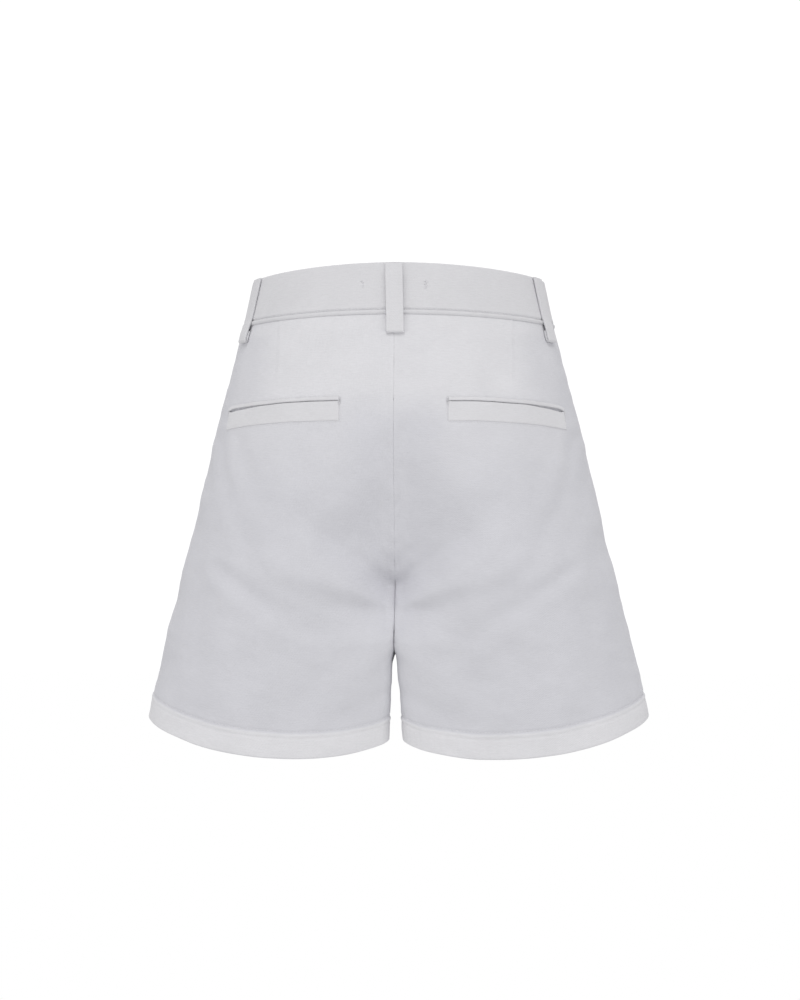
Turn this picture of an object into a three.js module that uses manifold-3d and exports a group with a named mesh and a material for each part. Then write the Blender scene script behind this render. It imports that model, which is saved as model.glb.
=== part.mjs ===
// High-waisted A-line shorts in white denim, standing open as if worn, with nobody in them.
// Millimetres. +Z is up, +X is the wearer's left and the front faces -Y.
// The origin is the middle of the waist, level with the middle of the waistband at the sides.
//
// Each half of the garment is one tube of cloth. Its level sections are rings round a leg: below the
// crotch a ring is whole, and above it the plane between the legs cuts the ring, so that the centre
// seams run along that plane. A place on the cloth is named by two real lengths: "drop", how far it
// is below the waist seam at the side, and "run", how far along its level from the centre seam.

import * as THREE from "three";
import { mergeVertices } from "three/addons/utils/BufferGeometryUtils.js";
import Module from "manifold-3d";

// Driving dimensions.
const WALL = 1.2; // one layer of denim
const HEM_WALL = 2.6; // the hem's turned-up layers
const HEM_DEPTH = 20;
const HEM_STEP = 1; // height of the turned-up edge inside the leg
const SEAM_GAP = 0.3; // between pieces that are sewn together
const OUTSEAM = 330.5; // waist seam to hem, as a height at the side
const CROTCH_DROP = 252;
const BAND_HEIGHT = 40;
const BAND_PROUD = 0.8; // how far the waistband stands out from the panels below it
const BAND_WALL = 2.8;
const FLY_LENGTH = 150;
const FLY_LAP = 3.5; // how far the left front reaches over the right one
const LAP_RISE = WALL + SEAM_GAP;
const LAP_WIDTH = 24; // of the raised strip along the fly edge
const LAP_SLOPE = 12; // over which it comes down to the rest of the front
const VALLEY_ROUND = 14; // softness of the hollow along the centre back seam

const PANEL_COLUMNS = 19;
const ROWS_TO_CROTCH = 22;
const ROWS_TO_HEM_FOLD = 5;
const ROWS_IN_HEM = 2;
const BAND_COLUMNS = 30;

// Heights along a level, each as its height at the waist seam and its fall for each millimetre of drop.
const HEIGHTS = {
  side: { start: -18.5, fall: 1 },
  back: { start: -13.5, fall: 1.09 },
  front: { start: -24, fall: 1.023 },
  inner: { start: -18.5, fall: 1.0635 },
};

// The ring at each drop. wide: side of the ring from the middle plane. inset: its inner edge, past the
// middle plane where negative. rear and fore: its depth behind and before the side seam.
// square: 2 is an ellipse, more is squarer.
const LEVELS = [
  { drop: -BAND_HEIGHT, wide: 125, inset: -125, rear: 88, fore: 85, square: 2 },
  { drop: 0, wide: 134, inset: -134, rear: 96, fore: 92, square: 2 },
  { drop: 40, wide: 144.5, inset: -132, rear: 108, fore: 98, square: 2.02 },
  { drop: 90, wide: 157, inset: -110, rear: 119, fore: 103, square: 2.06 },
  { drop: 140, wide: 168.6, inset: -82, rear: 124, fore: 105, square: 2.1 },
  { drop: 185, wide: 179, inset: -50, rear: 122.5, fore: 105, square: 2.12 },
  { drop: 212, wide: 185.6, inset: -26, rear: 119.5, fore: 104.4, square: 2.12 },
  { drop: 230, wide: 189.9, inset: -11, rear: 117, fore: 103.8, square: 2.12 },
  { drop: 242, wide: 192.8, inset: -3.4, rear: 115.6, fore: 103.4, square: 2.12 },
  { drop: CROTCH_DROP, wide: 195.2, inset: 0.15, rear: 114.5, fore: 103, square: 2.12 },
  { drop: 292, wide: 205.3, inset: 2.8, rear: 111, fore: 100, square: 2.12 },
  { drop: OUTSEAM, wide: 214, inset: 5.6, rear: 108, fore: 98, square: 2.12 },
];

// The cloth of the seat draws in at the centre seam below the hips, and comes out again over the
// thighs below a line that rises outwards from the crotch. Heights are in Z, halves are half widths.
const SEAT_HOLLOW = {
  depth: 14, top: -96, bottom: -216, topHalf: 16, bottomHalf: 62, line: -241, rise: 0.66, recovery: 26,
};

// The thighs fill the inner corners of the legs, front and back. square is the exponent of the fuller
// section, which is whole at runIn from the middle plane and at seam from the inside leg seam, and
// comes in between the drops top and full. The cloth lifts by rise for each millimetre that it is
// moved out and each millimetre below the hips.
const THIGH = { square: 7, runIn: 4, seam: 12, top: 200, full: 250, rise: 1 / 1800, hips: -165 };

// The largest folds. Each is a soft trough, or a ridge where depth is negative, from one place to
// another, seen straight from behind or from the front: out is the distance from the middle plane and
// height is Z. spread is its half width, and left and right are its strength on each leg.
const BACK_FOLDS = [
  { out: 2, height: -241, toOut: 62, toHeight: -184, depth: 4.6, spread: 10, left: 1, right: 0.9 },
  { out: 18, height: -252, toOut: 98, toHeight: -227, depth: 3.2, spread: 8.5, left: 1, right: 1.1 },
  { out: 38, height: -294, toOut: 142, toHeight: -230, depth: 4.0, spread: 11, left: 1, right: 0.85 },
  { out: 168, height: -276, toOut: 174, toHeight: -338, depth: 2.4, spread: 8, left: 1, right: 0.9 },
  { out: 22, height: -118, toOut: 5, toHeight: -172, depth: 1.6, spread: 8, left: 1, right: 1 },
];
const FRONT_FOLDS = [
  { out: 4, height: -240, toOut: 66, toHeight: -198, depth: 3.6, spread: 9.5, left: 0.9, right: 1 },
  { out: 14, height: -256, toOut: 90, toHeight: -244, depth: 2.4, spread: 9, left: 1, right: 0.8 },
  { out: 56, height: -300, toOut: 150, toHeight: -238, depth: 3.2, spread: 11, left: 0.8, right: 1 },
  { out: 166, height: -270, toOut: 170, toHeight: -332, depth: 2.2, spread: 8, left: 1, right: 1 },
];

// Back pockets: the slit under its narrow lip, and the welt below it.
const POCKET = { run: 46, width: 118, drop: 65, fall: 4, welt: 14.5, lip: 3.2, slit: 1.6, wall: 1.1 };

// Belt loops: a folded strap that stands off the band and turns under itself at its lower end.
const LOOP = { width: 14, wall: 2.2, top: -39.4, bottom: 15, tack: 6, turn: 11, foot: 0.6 };
const LOOPS = [
  { name: "belt_loop_back", part: "back", hand: 1, share: 0, slack: 2.4, lean: 0.8 },
  { name: "belt_loop_side_left", part: "back", hand: 1, share: 0.85, slack: 3.8, lean: 0 },
  { name: "belt_loop_side_right", part: "back", hand: -1, share: 0.85, slack: 3.8, lean: 0 },
  { name: "belt_loop_front_left", part: "front", hand: 1, share: 0.48, slack: 3.2, lean: 0 },
  { name: "belt_loop_front_right", part: "front", hand: -1, share: 0.48, slack: 3.2, lean: 0 },
];

const BUTTON = { radius: 8.5, height: 3.2, run: 12, drop: -20, hole: 0.9, spacing: 1.9 };
const SHIELD = { from: -14, to: 34, top: 1.5, bottom: 142, wall: 1.1 };
const UNDERLAP = 34; // the right band's end below the left one

const COLORS = { denim: 0xdcdcde, button: 0xe8e7e2 };

// Curve through a column of LEVELS that never overshoots its rows: cubic pieces whose slopes at the
// rows are harmonic means of the slopes on either side.
function through(rows, key) {
  const x = rows.map((row) => row.drop);
  const y = rows.map((row) => row[key]);
  const slopes = x.slice(1).map((to, i) => (y[i + 1] - y[i]) / (to - x[i]));
  const tangents = x.map((_, i) => {
    if (i === 0) return slopes[0];
    if (i === slopes.length) return slopes[i - 1];
    const [a, b] = [slopes[i - 1], slopes[i]];
    return a * b <= 0 ? 0 : (2 * a * b) / (a + b);
  });
  return (at) => {
    let i = 0;
    while (i < slopes.length - 1 && at > x[i + 1]) i += 1;
    const step = x[i + 1] - x[i];
    const t = (at - x[i]) / step;
    const [t2, t3] = [t * t, t * t * t];
    return (
      y[i] * (2 * t3 - 3 * t2 + 1) +
      y[i + 1] * (3 * t2 - 2 * t3) +
      step * (tangents[i] * (t3 - 2 * t2 + t) + tangents[i + 1] * (t3 - t2))
    );
  };
}

const CURVES = Object.fromEntries(
  ["wide", "inset", "rear", "fore", "square"].map((key) => [key, through(LEVELS, key)]),
);

const smooth = (t) => {
  const c = Math.min(1, Math.max(0, t));
  return c * c * (3 - 2 * c);
};
const signedPower = (value, power) => Math.sign(value) * Math.abs(value) ** power;

function levelAt(drop) {
  const read = (key) => CURVES[key](drop);
  const [wide, inset] = [read("wide"), read("inset")];
  const height = (key) => HEIGHTS[key].start - HEIGHTS[key].fall * drop;
  return {
    centre: (wide + inset) / 2,
    reach: (wide - inset) / 2,
    rear: read("rear"),
    fore: read("fore"),
    power: 2 / read("square"),
    valley: VALLEY_ROUND * Math.min(1, Math.max(0, -inset / 60)),
    middle: (height("side") + height("inner")) / 2,
    lean: (height("side") - height("inner")) / 2,
    back: height("back"),
    front: height("front"),
  };
}

// A point of the left tube before its folds. angle is 0 at the side seam and grows towards the back.
function ringPoint(level, angle) {
  const [c, s] = [Math.cos(angle), Math.sin(angle)];
  const x = level.centre + level.reach * signedPower(c, level.power);
  const depth = s > 0 ? level.rear : level.fore;
  const end = s > 0 ? level.back : level.front;
  return new THREE.Vector3(
    Math.sqrt(Math.max(0, x * x - level.valley ** 2)),
    depth * signedPower(s, level.power),
    level.middle + level.lean * c + (end - level.middle) * s * s,
  );
}

// The angle at which the ring meets the middle plane, or its innermost point if it stays clear of it.
function seamAngle(level) {
  const edge = Math.hypot(level.valley, SEAM_GAP / 2);
  const share = (edge - level.centre) / level.reach;
  return Math.acos(Math.max(-1, signedPower(share, 1 / level.power)));
}

// One level of a front or back, as angles at equal steps with their distances from the centre seam.
const RING_STEPS = 180;
const levelRuns = new Map();
function runsOf(part, drop) {
  const key = part + drop.toFixed(4);
  if (!levelRuns.has(key)) {
    const level = levelAt(drop);
    const sign = part === "back" ? 1 : -1;
    const start = seamAngle(level) * sign;
    const angles = [];
    const runs = [0];
    let last = null;
    for (let i = 0; i <= RING_STEPS; i += 1) {
      angles.push(start * (1 - i / RING_STEPS));
      const point = ringPoint(level, angles[i]);
      if (last) runs.push(runs[i - 1] + point.distanceTo(last));
      last = point;
    }
    levelRuns.set(key, { level, angles, runs, length: runs[RING_STEPS] });
  }
  return levelRuns.get(key);
}

function angleAt(found, run) {
  const { angles, runs } = found;
  let [low, high] = [0, RING_STEPS];
  while (high - low > 1) {
    const half = (low + high) >> 1;
    if (runs[half] <= run) low = half;
    else high = half;
  }
  const t = (run - runs[low]) / (runs[high] - runs[low]);
  return angles[low] + (angles[high] - angles[low]) * t;
}

function outwardAt(drop, angle, level) {
  const turn = 0.01;
  const down = 1;
  const round = ringPoint(level, angle + turn).sub(ringPoint(level, angle - turn));
  const along = ringPoint(levelAt(drop + down), angle).sub(ringPoint(levelAt(drop - down), angle));
  const normal = round.cross(along).normalize();
  const point = ringPoint(level, angle);
  const fromMiddle = new THREE.Vector3(point.x - level.centre, point.y, 0);
  return normal.dot(fromMiddle) < 0 ? normal.negate() : normal;
}

// How far the folds push a point in, by its distance from each fold's line.
function foldAt(folds, hand, point) {
  let sum = 0;
  for (const fold of folds) {
    const [dx, dz] = [fold.toOut - fold.out, fold.toHeight - fold.height];
    const length = Math.hypot(dx, dz);
    const [px, pz] = [point.x - fold.out, point.z - fold.height];
    const along = (px * dx + pz * dz) / length / length;
    const away = (px * dz - pz * dx) / length;
    const past = Math.max(0, -along, along - 1) * length;
    const distance = Math.hypot(away, past) / fold.spread;
    const ends = 1 - 0.55 * Math.min(1, Math.max(0, along));
    sum += fold.depth * ends * Math.exp(-distance * distance) * (hand > 0 ? fold.left : fold.right);
  }
  return sum;
}

// How far the seat draws in: a bell across the middle plane that deepens and widens downwards.
function seatHollowAt({ x, y, z }) {
  const { depth, top, bottom, topHalf, bottomHalf, line, rise, recovery } = SEAT_HOLLOW;
  const down = smooth((top - z) / (top - bottom));
  const recovered = smooth((line + rise * x + 0.3 * recovery - z) / recovery);
  const half = topHalf + (bottomHalf - topHalf) * down;
  return depth * Math.exp(-((x / half) ** 2)) * down * (1 - recovered) * smooth(y / 40);
}

// How much deeper than its ellipse a leg is at a point of its inner half.
function thighAt(level, drop, angle, { x, y }) {
  if (Math.cos(angle) > 0) return 0;
  const across = Math.abs(signedPower(Math.cos(angle), level.power));
  const section = (square) => Math.max(0, 1 - across ** square) ** (1 / square);
  const here = smooth((drop - THIGH.top) / (THIGH.full - THIGH.top));
  const clear = smooth(x / THIGH.runIn) * smooth(Math.abs(y) / THIGH.seam);
  const depth = y > 0 ? level.rear : level.fore;
  return depth * here * clear * (section(THIGH.square) - section(2 / level.power));
}

// How far the left front's fly edge stands out over the right front, and how far it reaches over it.
// It draws back to the centre seam before it comes down to it.
function lapAt(part, hand, drop, run) {
  if (part !== "front" || hand < 0) return 0;
  const fade = 1 - smooth((drop - (FLY_LENGTH - 20)) / 20);
  return LAP_RISE * fade * smooth((LAP_WIDTH + LAP_SLOPE - run) / LAP_SLOPE);
}
const lapReach = (drop) => FLY_LAP * (1 - smooth((drop - (FLY_LENGTH - 45)) / 22));

// A point of the cloth. part is "front" or "back", hand is 1 on the wearer's left and -1 on the
// right, and out is how far it lies outside the panel's face.
function clothAt(part, hand, drop, run, out) {
  const found = runsOf(part, drop);
  const crossed = run < 0;
  const angle = angleAt(found, Math.min(Math.abs(run), found.length));
  const point = ringPoint(found.level, angle);
  const outward = outwardAt(drop, angle, found.level);
  const folds = part === "back" ? BACK_FOLDS : FRONT_FOLDS;
  const fold = drop > 0 ? foldAt(folds, crossed ? -hand : hand, point) : 0;
  const fuller = thighAt(found.level, drop, angle, point);
  const hollow = part === "back" ? seatHollowAt(point) : 0;
  point.addScaledVector(outward, out + lapAt(part, hand, drop, run) - fold);
  point.y += (part === "back" ? fuller : -fuller) - hollow;
  point.z -= (point.z - THIGH.hips) * fuller * THIGH.rise;
  point.x = Math.max(point.x, SEAM_GAP / 2) * (crossed ? -hand : hand);
  return point;
}

// A closed mesh from vertex positions and faces, all of them turned if they enclose less than nothing.
function solid(points, faces) {
  const enclosed = faces.reduce((sum, [a, b, c]) => {
    const edges = new THREE.Vector3().crossVectors(points[b], points[c]);
    return sum + points[a].dot(edges) / 6;
  }, 0);
  const turned = enclosed < 0 ? faces.map(([a, b, c]) => [a, c, b]) : faces;
  const positions = points.flatMap((point) => point.toArray());
  const geometry = new THREE.BufferGeometry();
  geometry.setAttribute("position", new THREE.Float32BufferAttribute(positions, 3));
  geometry.setIndex(turned.flat());
  geometry.computeVertexNormals();
  return geometry;
}

// A wall between two faces of one grid. face(i, j, inside) gives its points: i across and j down.
function wall(columns, rows, face) {
  const points = [];
  for (const inside of [false, true]) {
    for (let j = 0; j <= rows; j += 1) {
      for (let i = 0; i <= columns; i += 1) points.push(face(i, j, inside));
    }
  }
  const faces = [];
  const at = (i, j, inside) => ((inside ? rows + 1 : 0) + j) * (columns + 1) + i;
  const quad = (a, b, c, d) => {
    const shorter = points[a].distanceToSquared(points[c]) <= points[b].distanceToSquared(points[d]);
    faces.push(...(shorter ? [[a, b, c], [a, c, d]] : [[a, b, d], [b, c, d]]));
  };
  for (let j = 0; j < rows; j += 1) {
    for (let i = 0; i < columns; i += 1) {
      quad(at(i, j, false), at(i + 1, j, false), at(i + 1, j + 1, false), at(i, j + 1, false));
      quad(at(i, j, true), at(i, j + 1, true), at(i + 1, j + 1, true), at(i + 1, j, true));
    }
    quad(at(0, j, false), at(0, j + 1, false), at(0, j + 1, true), at(0, j, true));
    quad(at(columns, j, false), at(columns, j, true), at(columns, j + 1, true), at(columns, j + 1, false));
  }
  for (let i = 0; i < columns; i += 1) {
    quad(at(i, 0, false), at(i, 0, true), at(i + 1, 0, true), at(i + 1, 0, false));
    quad(at(i, rows, false), at(i + 1, rows, false), at(i + 1, rows, true), at(i, rows, true));
  }
  return solid(points, faces);
}

// A bar: a closed outline of an even count of points, carried along. rib(i, k) gives point k of rib i.
// Its ends are closed with strips between the opposite points of the outline.
function bar(ribs, count, rib) {
  const points = [];
  for (let i = 0; i <= ribs; i += 1) {
    for (let k = 0; k < count; k += 1) points.push(rib(i, k));
  }
  const faces = [];
  for (let i = 0; i < ribs; i += 1) {
    for (let k = 0; k < count; k += 1) {
      const next = (k + 1) % count;
      const [a, b] = [i * count + k, i * count + next];
      faces.push([a, b, b + count], [a, b + count, a + count]);
    }
  }
  const end = ribs * count;
  for (let k = 0; k < count / 2 - 1; k += 1) {
    const [a, b, c, d] = [k, k + 1, count - 2 - k, count - 1 - k];
    faces.push([a, c, b], [a, d, c], [end + a, end + b, end + c], [end + a, end + c, end + d]);
  }
  return solid(points, faces);
}

// Drops of a panel's rows. Down to the crotch they are spaced by the mean of the side's and the
// centre seam's lengths, because that seam runs nearly level under the body.
function panelDrops(part) {
  const fine = 240;
  const drops = Array.from({ length: fine + 1 }, (_, i) => (CROTCH_DROP * i) / fine);
  const seam = [0];
  for (let i = 1; i <= fine; i += 1) {
    const [a, b] = [clothAt(part, 1, drops[i - 1], 0, 0), clothAt(part, 1, drops[i], 0, 0)];
    seam.push(seam[i - 1] + a.distanceTo(b));
  }
  const share = drops.map((drop, i) => (drop / CROTCH_DROP + seam[i] / seam[fine]) / 2);
  const upper = [];
  for (let row = 0; row < ROWS_TO_CROTCH; row += 1) {
    const want = row / ROWS_TO_CROTCH;
    const i = Math.min(fine, share.findIndex((value) => value > want));
    const t = (want - share[i - 1]) / (share[i] - share[i - 1]);
    upper.push(drops[i - 1] + (drops[i] - drops[i - 1]) * t);
  }
  const fold = OUTSEAM - HEM_DEPTH;
  const leg = Array.from({ length: ROWS_TO_HEM_FOLD }, (_, i) =>
    CROTCH_DROP + ((fold - CROTCH_DROP) * i) / ROWS_TO_HEM_FOLD);
  const inner = fold + HEM_STEP;
  const hem = Array.from({ length: ROWS_IN_HEM + 1 }, (_, i) =>
    inner + ((OUTSEAM - inner) * i) / ROWS_IN_HEM);
  return [...upper, ...leg, fold, ...hem];
}

// Both panels of a leg share their rows, so that their edges meet along the side seam and inseam.
const PANEL_DROPS = panelDrops("back");

// A front or back panel. Its columns run straight down the outer side, and towards the centre seam
// they close up, because the panel widens suddenly into the fork between the legs.
function panel(part, hand) {
  const rows = PANEL_DROPS.length - 1;
  const lapped = part === "front" && hand > 0;
  const [atWaist, atCrotch] = [0, CROTCH_DROP].map((drop) => runsOf(part, drop).length);
  const face = (i, j, inside) => {
    const drop = PANEL_DROPS[j];
    const start = drop >= CROTCH_DROP ? SEAM_GAP / 2 : lapped ? -lapReach(drop) : 0;
    const end = runsOf(part, drop).length - SEAM_GAP / 2;
    const width = end - start;
    const even = drop < CROTCH_DROP ? atWaist + ((atCrotch - atWaist) * drop) / CROTCH_DROP : width;
    const t = 1 - i / PANEL_COLUMNS;
    const fromSide = even * t - (even - width) * t ** 3;
    const thick = drop > OUTSEAM - HEM_DEPTH ? HEM_WALL : WALL;
    return clothAt(part, hand, drop, end - fromSide, inside ? -thick : 0);
  };
  return wall(PANEL_COLUMNS, rows, face);
}

// Half of the waistband, from the centre back round to the front, with rounded edges. The left end
// lies over the right one, which runs on below it as the underlap that takes the button.
function waistband(hand) {
  const [top, outer, inner] = [-BAND_HEIGHT, BAND_PROUD, BAND_PROUD - BAND_WALL];
  const outline = [
    { drop: -0.3, out: outer - 0.5 },
    { drop: -1.1, out: outer },
    { drop: top * 0.33, out: outer },
    { drop: top * 0.66, out: outer },
    { drop: top + 0.9, out: outer },
    { drop: top, out: outer - 0.8 },
    { drop: top, out: inner + 0.8 },
    { drop: top + 0.9, out: inner },
    { drop: top / 2, out: inner },
    { drop: -0.3, out: inner },
  ];
  const beyond = hand > 0 ? FLY_LAP : UNDERLAP;
  const belowLap = BAND_WALL + SEAM_GAP - LAP_RISE;
  const rib = (i, k) => {
    const { drop, out } = outline[k];
    const [back, front] = ["back", "front"].map((part) => runsOf(part, drop).length);
    const run = ((back + front + beyond) * i) / BAND_COLUMNS;
    if (run <= back) return clothAt("back", hand, drop, run, out);
    const left = back + front - run;
    const tucked = belowLap * smooth((18 - left) / 13) + LAP_RISE * smooth((4 - left - LAP_WIDTH) / LAP_SLOPE);
    return clothAt("front", hand, drop, left, hand > 0 ? out : out - tucked);
  };
  return bar(BAND_COLUMNS, outline.length, rib);
}

// A patch that lies on a back panel, between two drops that change evenly along it.
function patch(hand, upper, lower, columns, rows) {
  const face = (i, j, inside) => {
    const t = i / columns;
    const from = upper + POCKET.fall * t;
    const drop = from + (lower - upper) * (j / rows);
    const run = POCKET.run + POCKET.width * t;
    return clothAt("back", hand, drop, run, SEAM_GAP + (inside ? 0 : POCKET.wall));
  };
  return wall(columns, rows, face);
}

// The strap's outline, up its outside and down its inside, as a distance down from its upper end and
// a height above the band. Below the waist seam it comes down to the panel.
function loopOutline(slack) {
  const length = LOOP.bottom - LOOP.top;
  const seam = -LOOP.top;
  const thick = LOOP.wall;
  const outside = [
    { down: length, up: 0.5 - BAND_PROUD },
    { down: length, up: LOOP.foot + thick - 0.7 },
    { down: length - 1, up: LOOP.foot + thick },
    { down: length - LOOP.turn, up: LOOP.foot + thick + 0.4 },
    { down: length * 0.62, up: slack * 0.95 + thick },
    { down: length * 0.4, up: slack + thick },
    { down: LOOP.tack + 5, up: slack * 0.7 + thick },
    { down: 0, up: thick },
  ];
  const inside = [
    { down: 0, up: 0 },
    { down: LOOP.tack, up: 0 },
    { down: LOOP.tack + 5, up: slack * 0.7 },
    { down: length * 0.4, up: slack },
    { down: length * 0.62, up: slack * 0.95 },
    { down: seam - 0.5, up: slack * 0.6 },
    { down: length - LOOP.turn, up: -BAND_PROUD },
    { down: length - 0.6, up: -BAND_PROUD },
  ];
  return [...outside, ...inside];
}

// share is how far round the loop sits, from the centre seam to the side seam.
function beltLoop({ part, hand, share, slack, lean }) {
  const outline = loopOutline(slack);
  const ribs = 2;
  const rib = (i, k) => {
    const { down, up } = outline[k];
    const drop = LOOP.top + down;
    const tilt = lean * (1 - (2 * down) / (LOOP.bottom - LOOP.top));
    const at = share * runsOf(part, drop).length + LOOP.width * (i / ribs - 0.5) + tilt;
    return clothAt(part, hand, drop, at, BAND_PROUD + SEAM_GAP + up);
  };
  return bar(ribs, outline.length, rib);
}

// The strip behind the fly opening, whose lower corners are cut round.
function flyShield() {
  const [columns, rows] = [6, 10];
  const face = (i, j, inside) => {
    const drop = SHIELD.top + ((SHIELD.bottom - SHIELD.top) * j) / rows;
    const narrow = 9 * smooth((drop - (SHIELD.bottom - 26)) / 26);
    const run = SHIELD.from + (SHIELD.to - narrow - SHIELD.from) * (i / columns);
    const base = -WALL - SEAM_GAP - lapAt("front", 1, drop, run);
    return clothAt("front", 1, drop, run, base - (inside ? SHIELD.wall : 0));
  };
  return wall(columns, rows, face);
}

// A merged, closed mesh as a solid that can be cut.
function cuttable(wasm, geometry) {
  const bare = geometry.clone();
  bare.deleteAttribute("normal");
  bare.deleteAttribute("uv");
  const merged = mergeVertices(bare, 1e-4);
  return new wasm.Manifold(
    new wasm.Mesh({
      numProp: 3,
      vertProperties: new Float32Array(merged.getAttribute("position").array),
      triVerts: new Uint32Array(merged.index.array),
    }),
  );
}

// A sewn button: a dished disc with a raised rim and four holes, standing along +Z.
function buttonShape(wasm) {
  const { radius, height, hole, spacing } = BUTTON;
  const profile = [
    [0, 0],
    [radius - 1.4, 0],
    [radius, 1.1],
    [radius, height - 0.7],
    [radius - 0.8, height],
    [radius - 1.8, height],
    [radius - 3, height - 0.9],
    [0, height - 0.9],
  ].map(([x, y]) => new THREE.Vector2(x, y));
  const disc = new THREE.LatheGeometry(profile, 32).rotateX(Math.PI / 2);
  let button = cuttable(wasm, disc);
  for (const [x, y] of [[-1, -1], [-1, 1], [1, -1], [1, 1]]) {
    const drill = new THREE.CylinderGeometry(hole, hole, height * 3, 10).rotateX(Math.PI / 2);
    drill.translate((x * spacing) / 2, (y * spacing) / 2, 0);
    button = button.subtract(cuttable(wasm, drill));
  }
  const mesh = button.getMesh();
  const geometry = new THREE.BufferGeometry();
  geometry.setAttribute("position", new THREE.Float32BufferAttribute(mesh.vertProperties, 3));
  geometry.setIndex(Array.from(mesh.triVerts));
  geometry.computeVertexNormals();
  return geometry;
}

const materials = {
  denim: new THREE.MeshStandardMaterial({ color: COLORS.denim, roughness: 0.9, metalness: 0 }),
  button: new THREE.MeshStandardMaterial({ color: COLORS.button, roughness: 0.35, metalness: 0 }),
};

function piece(name, geometry, material = materials.denim) {
  const mesh = new THREE.Mesh(geometry, material);
  mesh.name = name;
  return mesh;
}

// The button's seat: on the left band's face, turned to face straight out of it.
function placeButton(mesh) {
  const lift = BAND_PROUD + SEAM_GAP + 0.2;
  const seat = clothAt("front", 1, BUTTON.drop, BUTTON.run, lift);
  const ahead = clothAt("front", 1, BUTTON.drop, BUTTON.run, lift + 1).sub(seat);
  mesh.position.copy(seat);
  mesh.quaternion.setFromUnitVectors(new THREE.Vector3(0, 0, 1), ahead.normalize());
  return mesh;
}

const wasm = await Module();
wasm.setup();

const shorts = new THREE.Group();
for (const [side, hand] of [["left", 1], ["right", -1]]) {
  shorts.add(piece(`back_${side}`, panel("back", hand)));
  shorts.add(piece(`front_${side}`, panel("front", hand)));
  shorts.add(piece(`waistband_${side}`, waistband(hand)));
  const slitTop = POCKET.drop;
  const slitBottom = slitTop + POCKET.slit;
  shorts.add(piece(`pocket_lip_${side}`, patch(hand, slitTop - POCKET.lip, slitTop, 12, 1)));
  shorts.add(piece(`pocket_welt_${side}`, patch(hand, slitBottom, slitBottom + POCKET.welt, 12, 2)));
}
for (const loop of LOOPS) shorts.add(piece(loop.name, beltLoop(loop)));
shorts.add(piece("fly_shield", flyShield()));
shorts.add(placeButton(piece("button", buttonShape(wasm), materials.button)));

export default shorts;
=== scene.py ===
"""High-waisted A-line shorts in white denim, seen from behind, filled out with nobody in them.

Lengths are millimetres until a mesh is made, which is in metres. +Z is up, +X is the wearer's left
and the back pockets face +Y. A place on the cloth is named by two real lengths: "drop", how far it
is below the waist seam at the side, and "run", how far along its level from the centre seam.
"""

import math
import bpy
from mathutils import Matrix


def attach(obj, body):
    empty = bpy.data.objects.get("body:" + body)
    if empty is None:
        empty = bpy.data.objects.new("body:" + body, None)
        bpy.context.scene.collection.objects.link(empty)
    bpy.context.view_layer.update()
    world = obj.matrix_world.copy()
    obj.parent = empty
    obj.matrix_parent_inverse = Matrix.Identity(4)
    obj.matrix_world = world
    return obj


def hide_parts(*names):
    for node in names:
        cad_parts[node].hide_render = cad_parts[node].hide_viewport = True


bl_info = {
    "name": "White Denim Shorts",
    "version": (1, 0, 0),
    "blender": (4, 5, 0),
    "location": "3D View > Sidebar > Shorts",
    "description": "High-waisted denim shorts with welt pockets, belt loops and a fly front",
    "category": "Object",
}

from collections import namedtuple
from types import SimpleNamespace

import bpy
import numpy as np

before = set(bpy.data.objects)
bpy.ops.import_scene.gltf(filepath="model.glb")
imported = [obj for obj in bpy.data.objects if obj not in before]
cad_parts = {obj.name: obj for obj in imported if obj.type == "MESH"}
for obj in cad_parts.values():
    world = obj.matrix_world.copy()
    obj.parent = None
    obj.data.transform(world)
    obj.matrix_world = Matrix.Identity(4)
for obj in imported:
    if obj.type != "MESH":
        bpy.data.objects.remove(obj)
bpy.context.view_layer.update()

MM = 0.001

# The cut. LEAST_WALL is left under a groove. The left front laps over the right one by FLY_LAP, and
# draws back to the centre seam over FLY_CLOSING, from FLY_CLOSED above the fly's foot. The waistband's
# right end runs on by UNDERLAP, and sinks below the left one over UNDERLAP_SLOPE. The two halves of a
# ring meet at the middle plane with a valley of VALLEY_ROUND, and less where they overlap by less
# than VALLEY_REACH.
WALL = 1.2
LEAST_WALL = 0.9
HEM_WALL = 2.6
HEM_DEPTH = 20.0
SEAM_GAP = 0.3
OUTSEAM = 330.5
CROTCH_DROP = 252.0
BAND_HEIGHT = 40.0
BAND_PROUD = 0.8
BAND_WALL = 2.8
FLY_LENGTH = 150.0
FLY_LAP = 3.5
FLY_FADE = 20.0
FLY_CLOSED = 45.0
FLY_CLOSING = 22.0
LAP_RISE = WALL + SEAM_GAP
LAP_WIDTH = 24.0
LAP_SLOPE = 12.0
UNDERLAP = 34.0
UNDERLAP_START = 18.0
UNDERLAP_SLOPE = 13.0
VALLEY_ROUND = 14.0
VALLEY_REACH = 60.0

POCKET = SimpleNamespace(
    run=44.0, width=119.0, drop=65.0, fall=7.0, arch=1.6, welt=14.5, lip=3.2, slit=1.6, deep=2.8, wall=0.6
)

# A slit's half opening as shares of its height: by its inner end, how much more by its outer end, and
# where along it that comes in; then the shares of its length over which it closes at its two ends.
GAPE = SimpleNamespace(inner=0.1, more=0.5, start=0.55, over=0.4, inner_end=0.03, outer_end=0.05)

LOOP = SimpleNamespace(width=14.0, top=-39.4, bottom=15.0, fold=9.0, thick=1.8, rounding=0.9, edge=0.35)
BUTTON = SimpleNamespace(
    radius=8.5, height=3.2, run=12.0, drop=-20.0, lift=0.2, rim=1.2, bead=1.6, dish=0.9, hole=0.9, spacing=1.9
)
SHIELD = SimpleNamespace(start=-14.0, end=34.0, top=1.5, bottom=142.0, wall=1.1, narrow=9.0, rounding=26.0)

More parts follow.
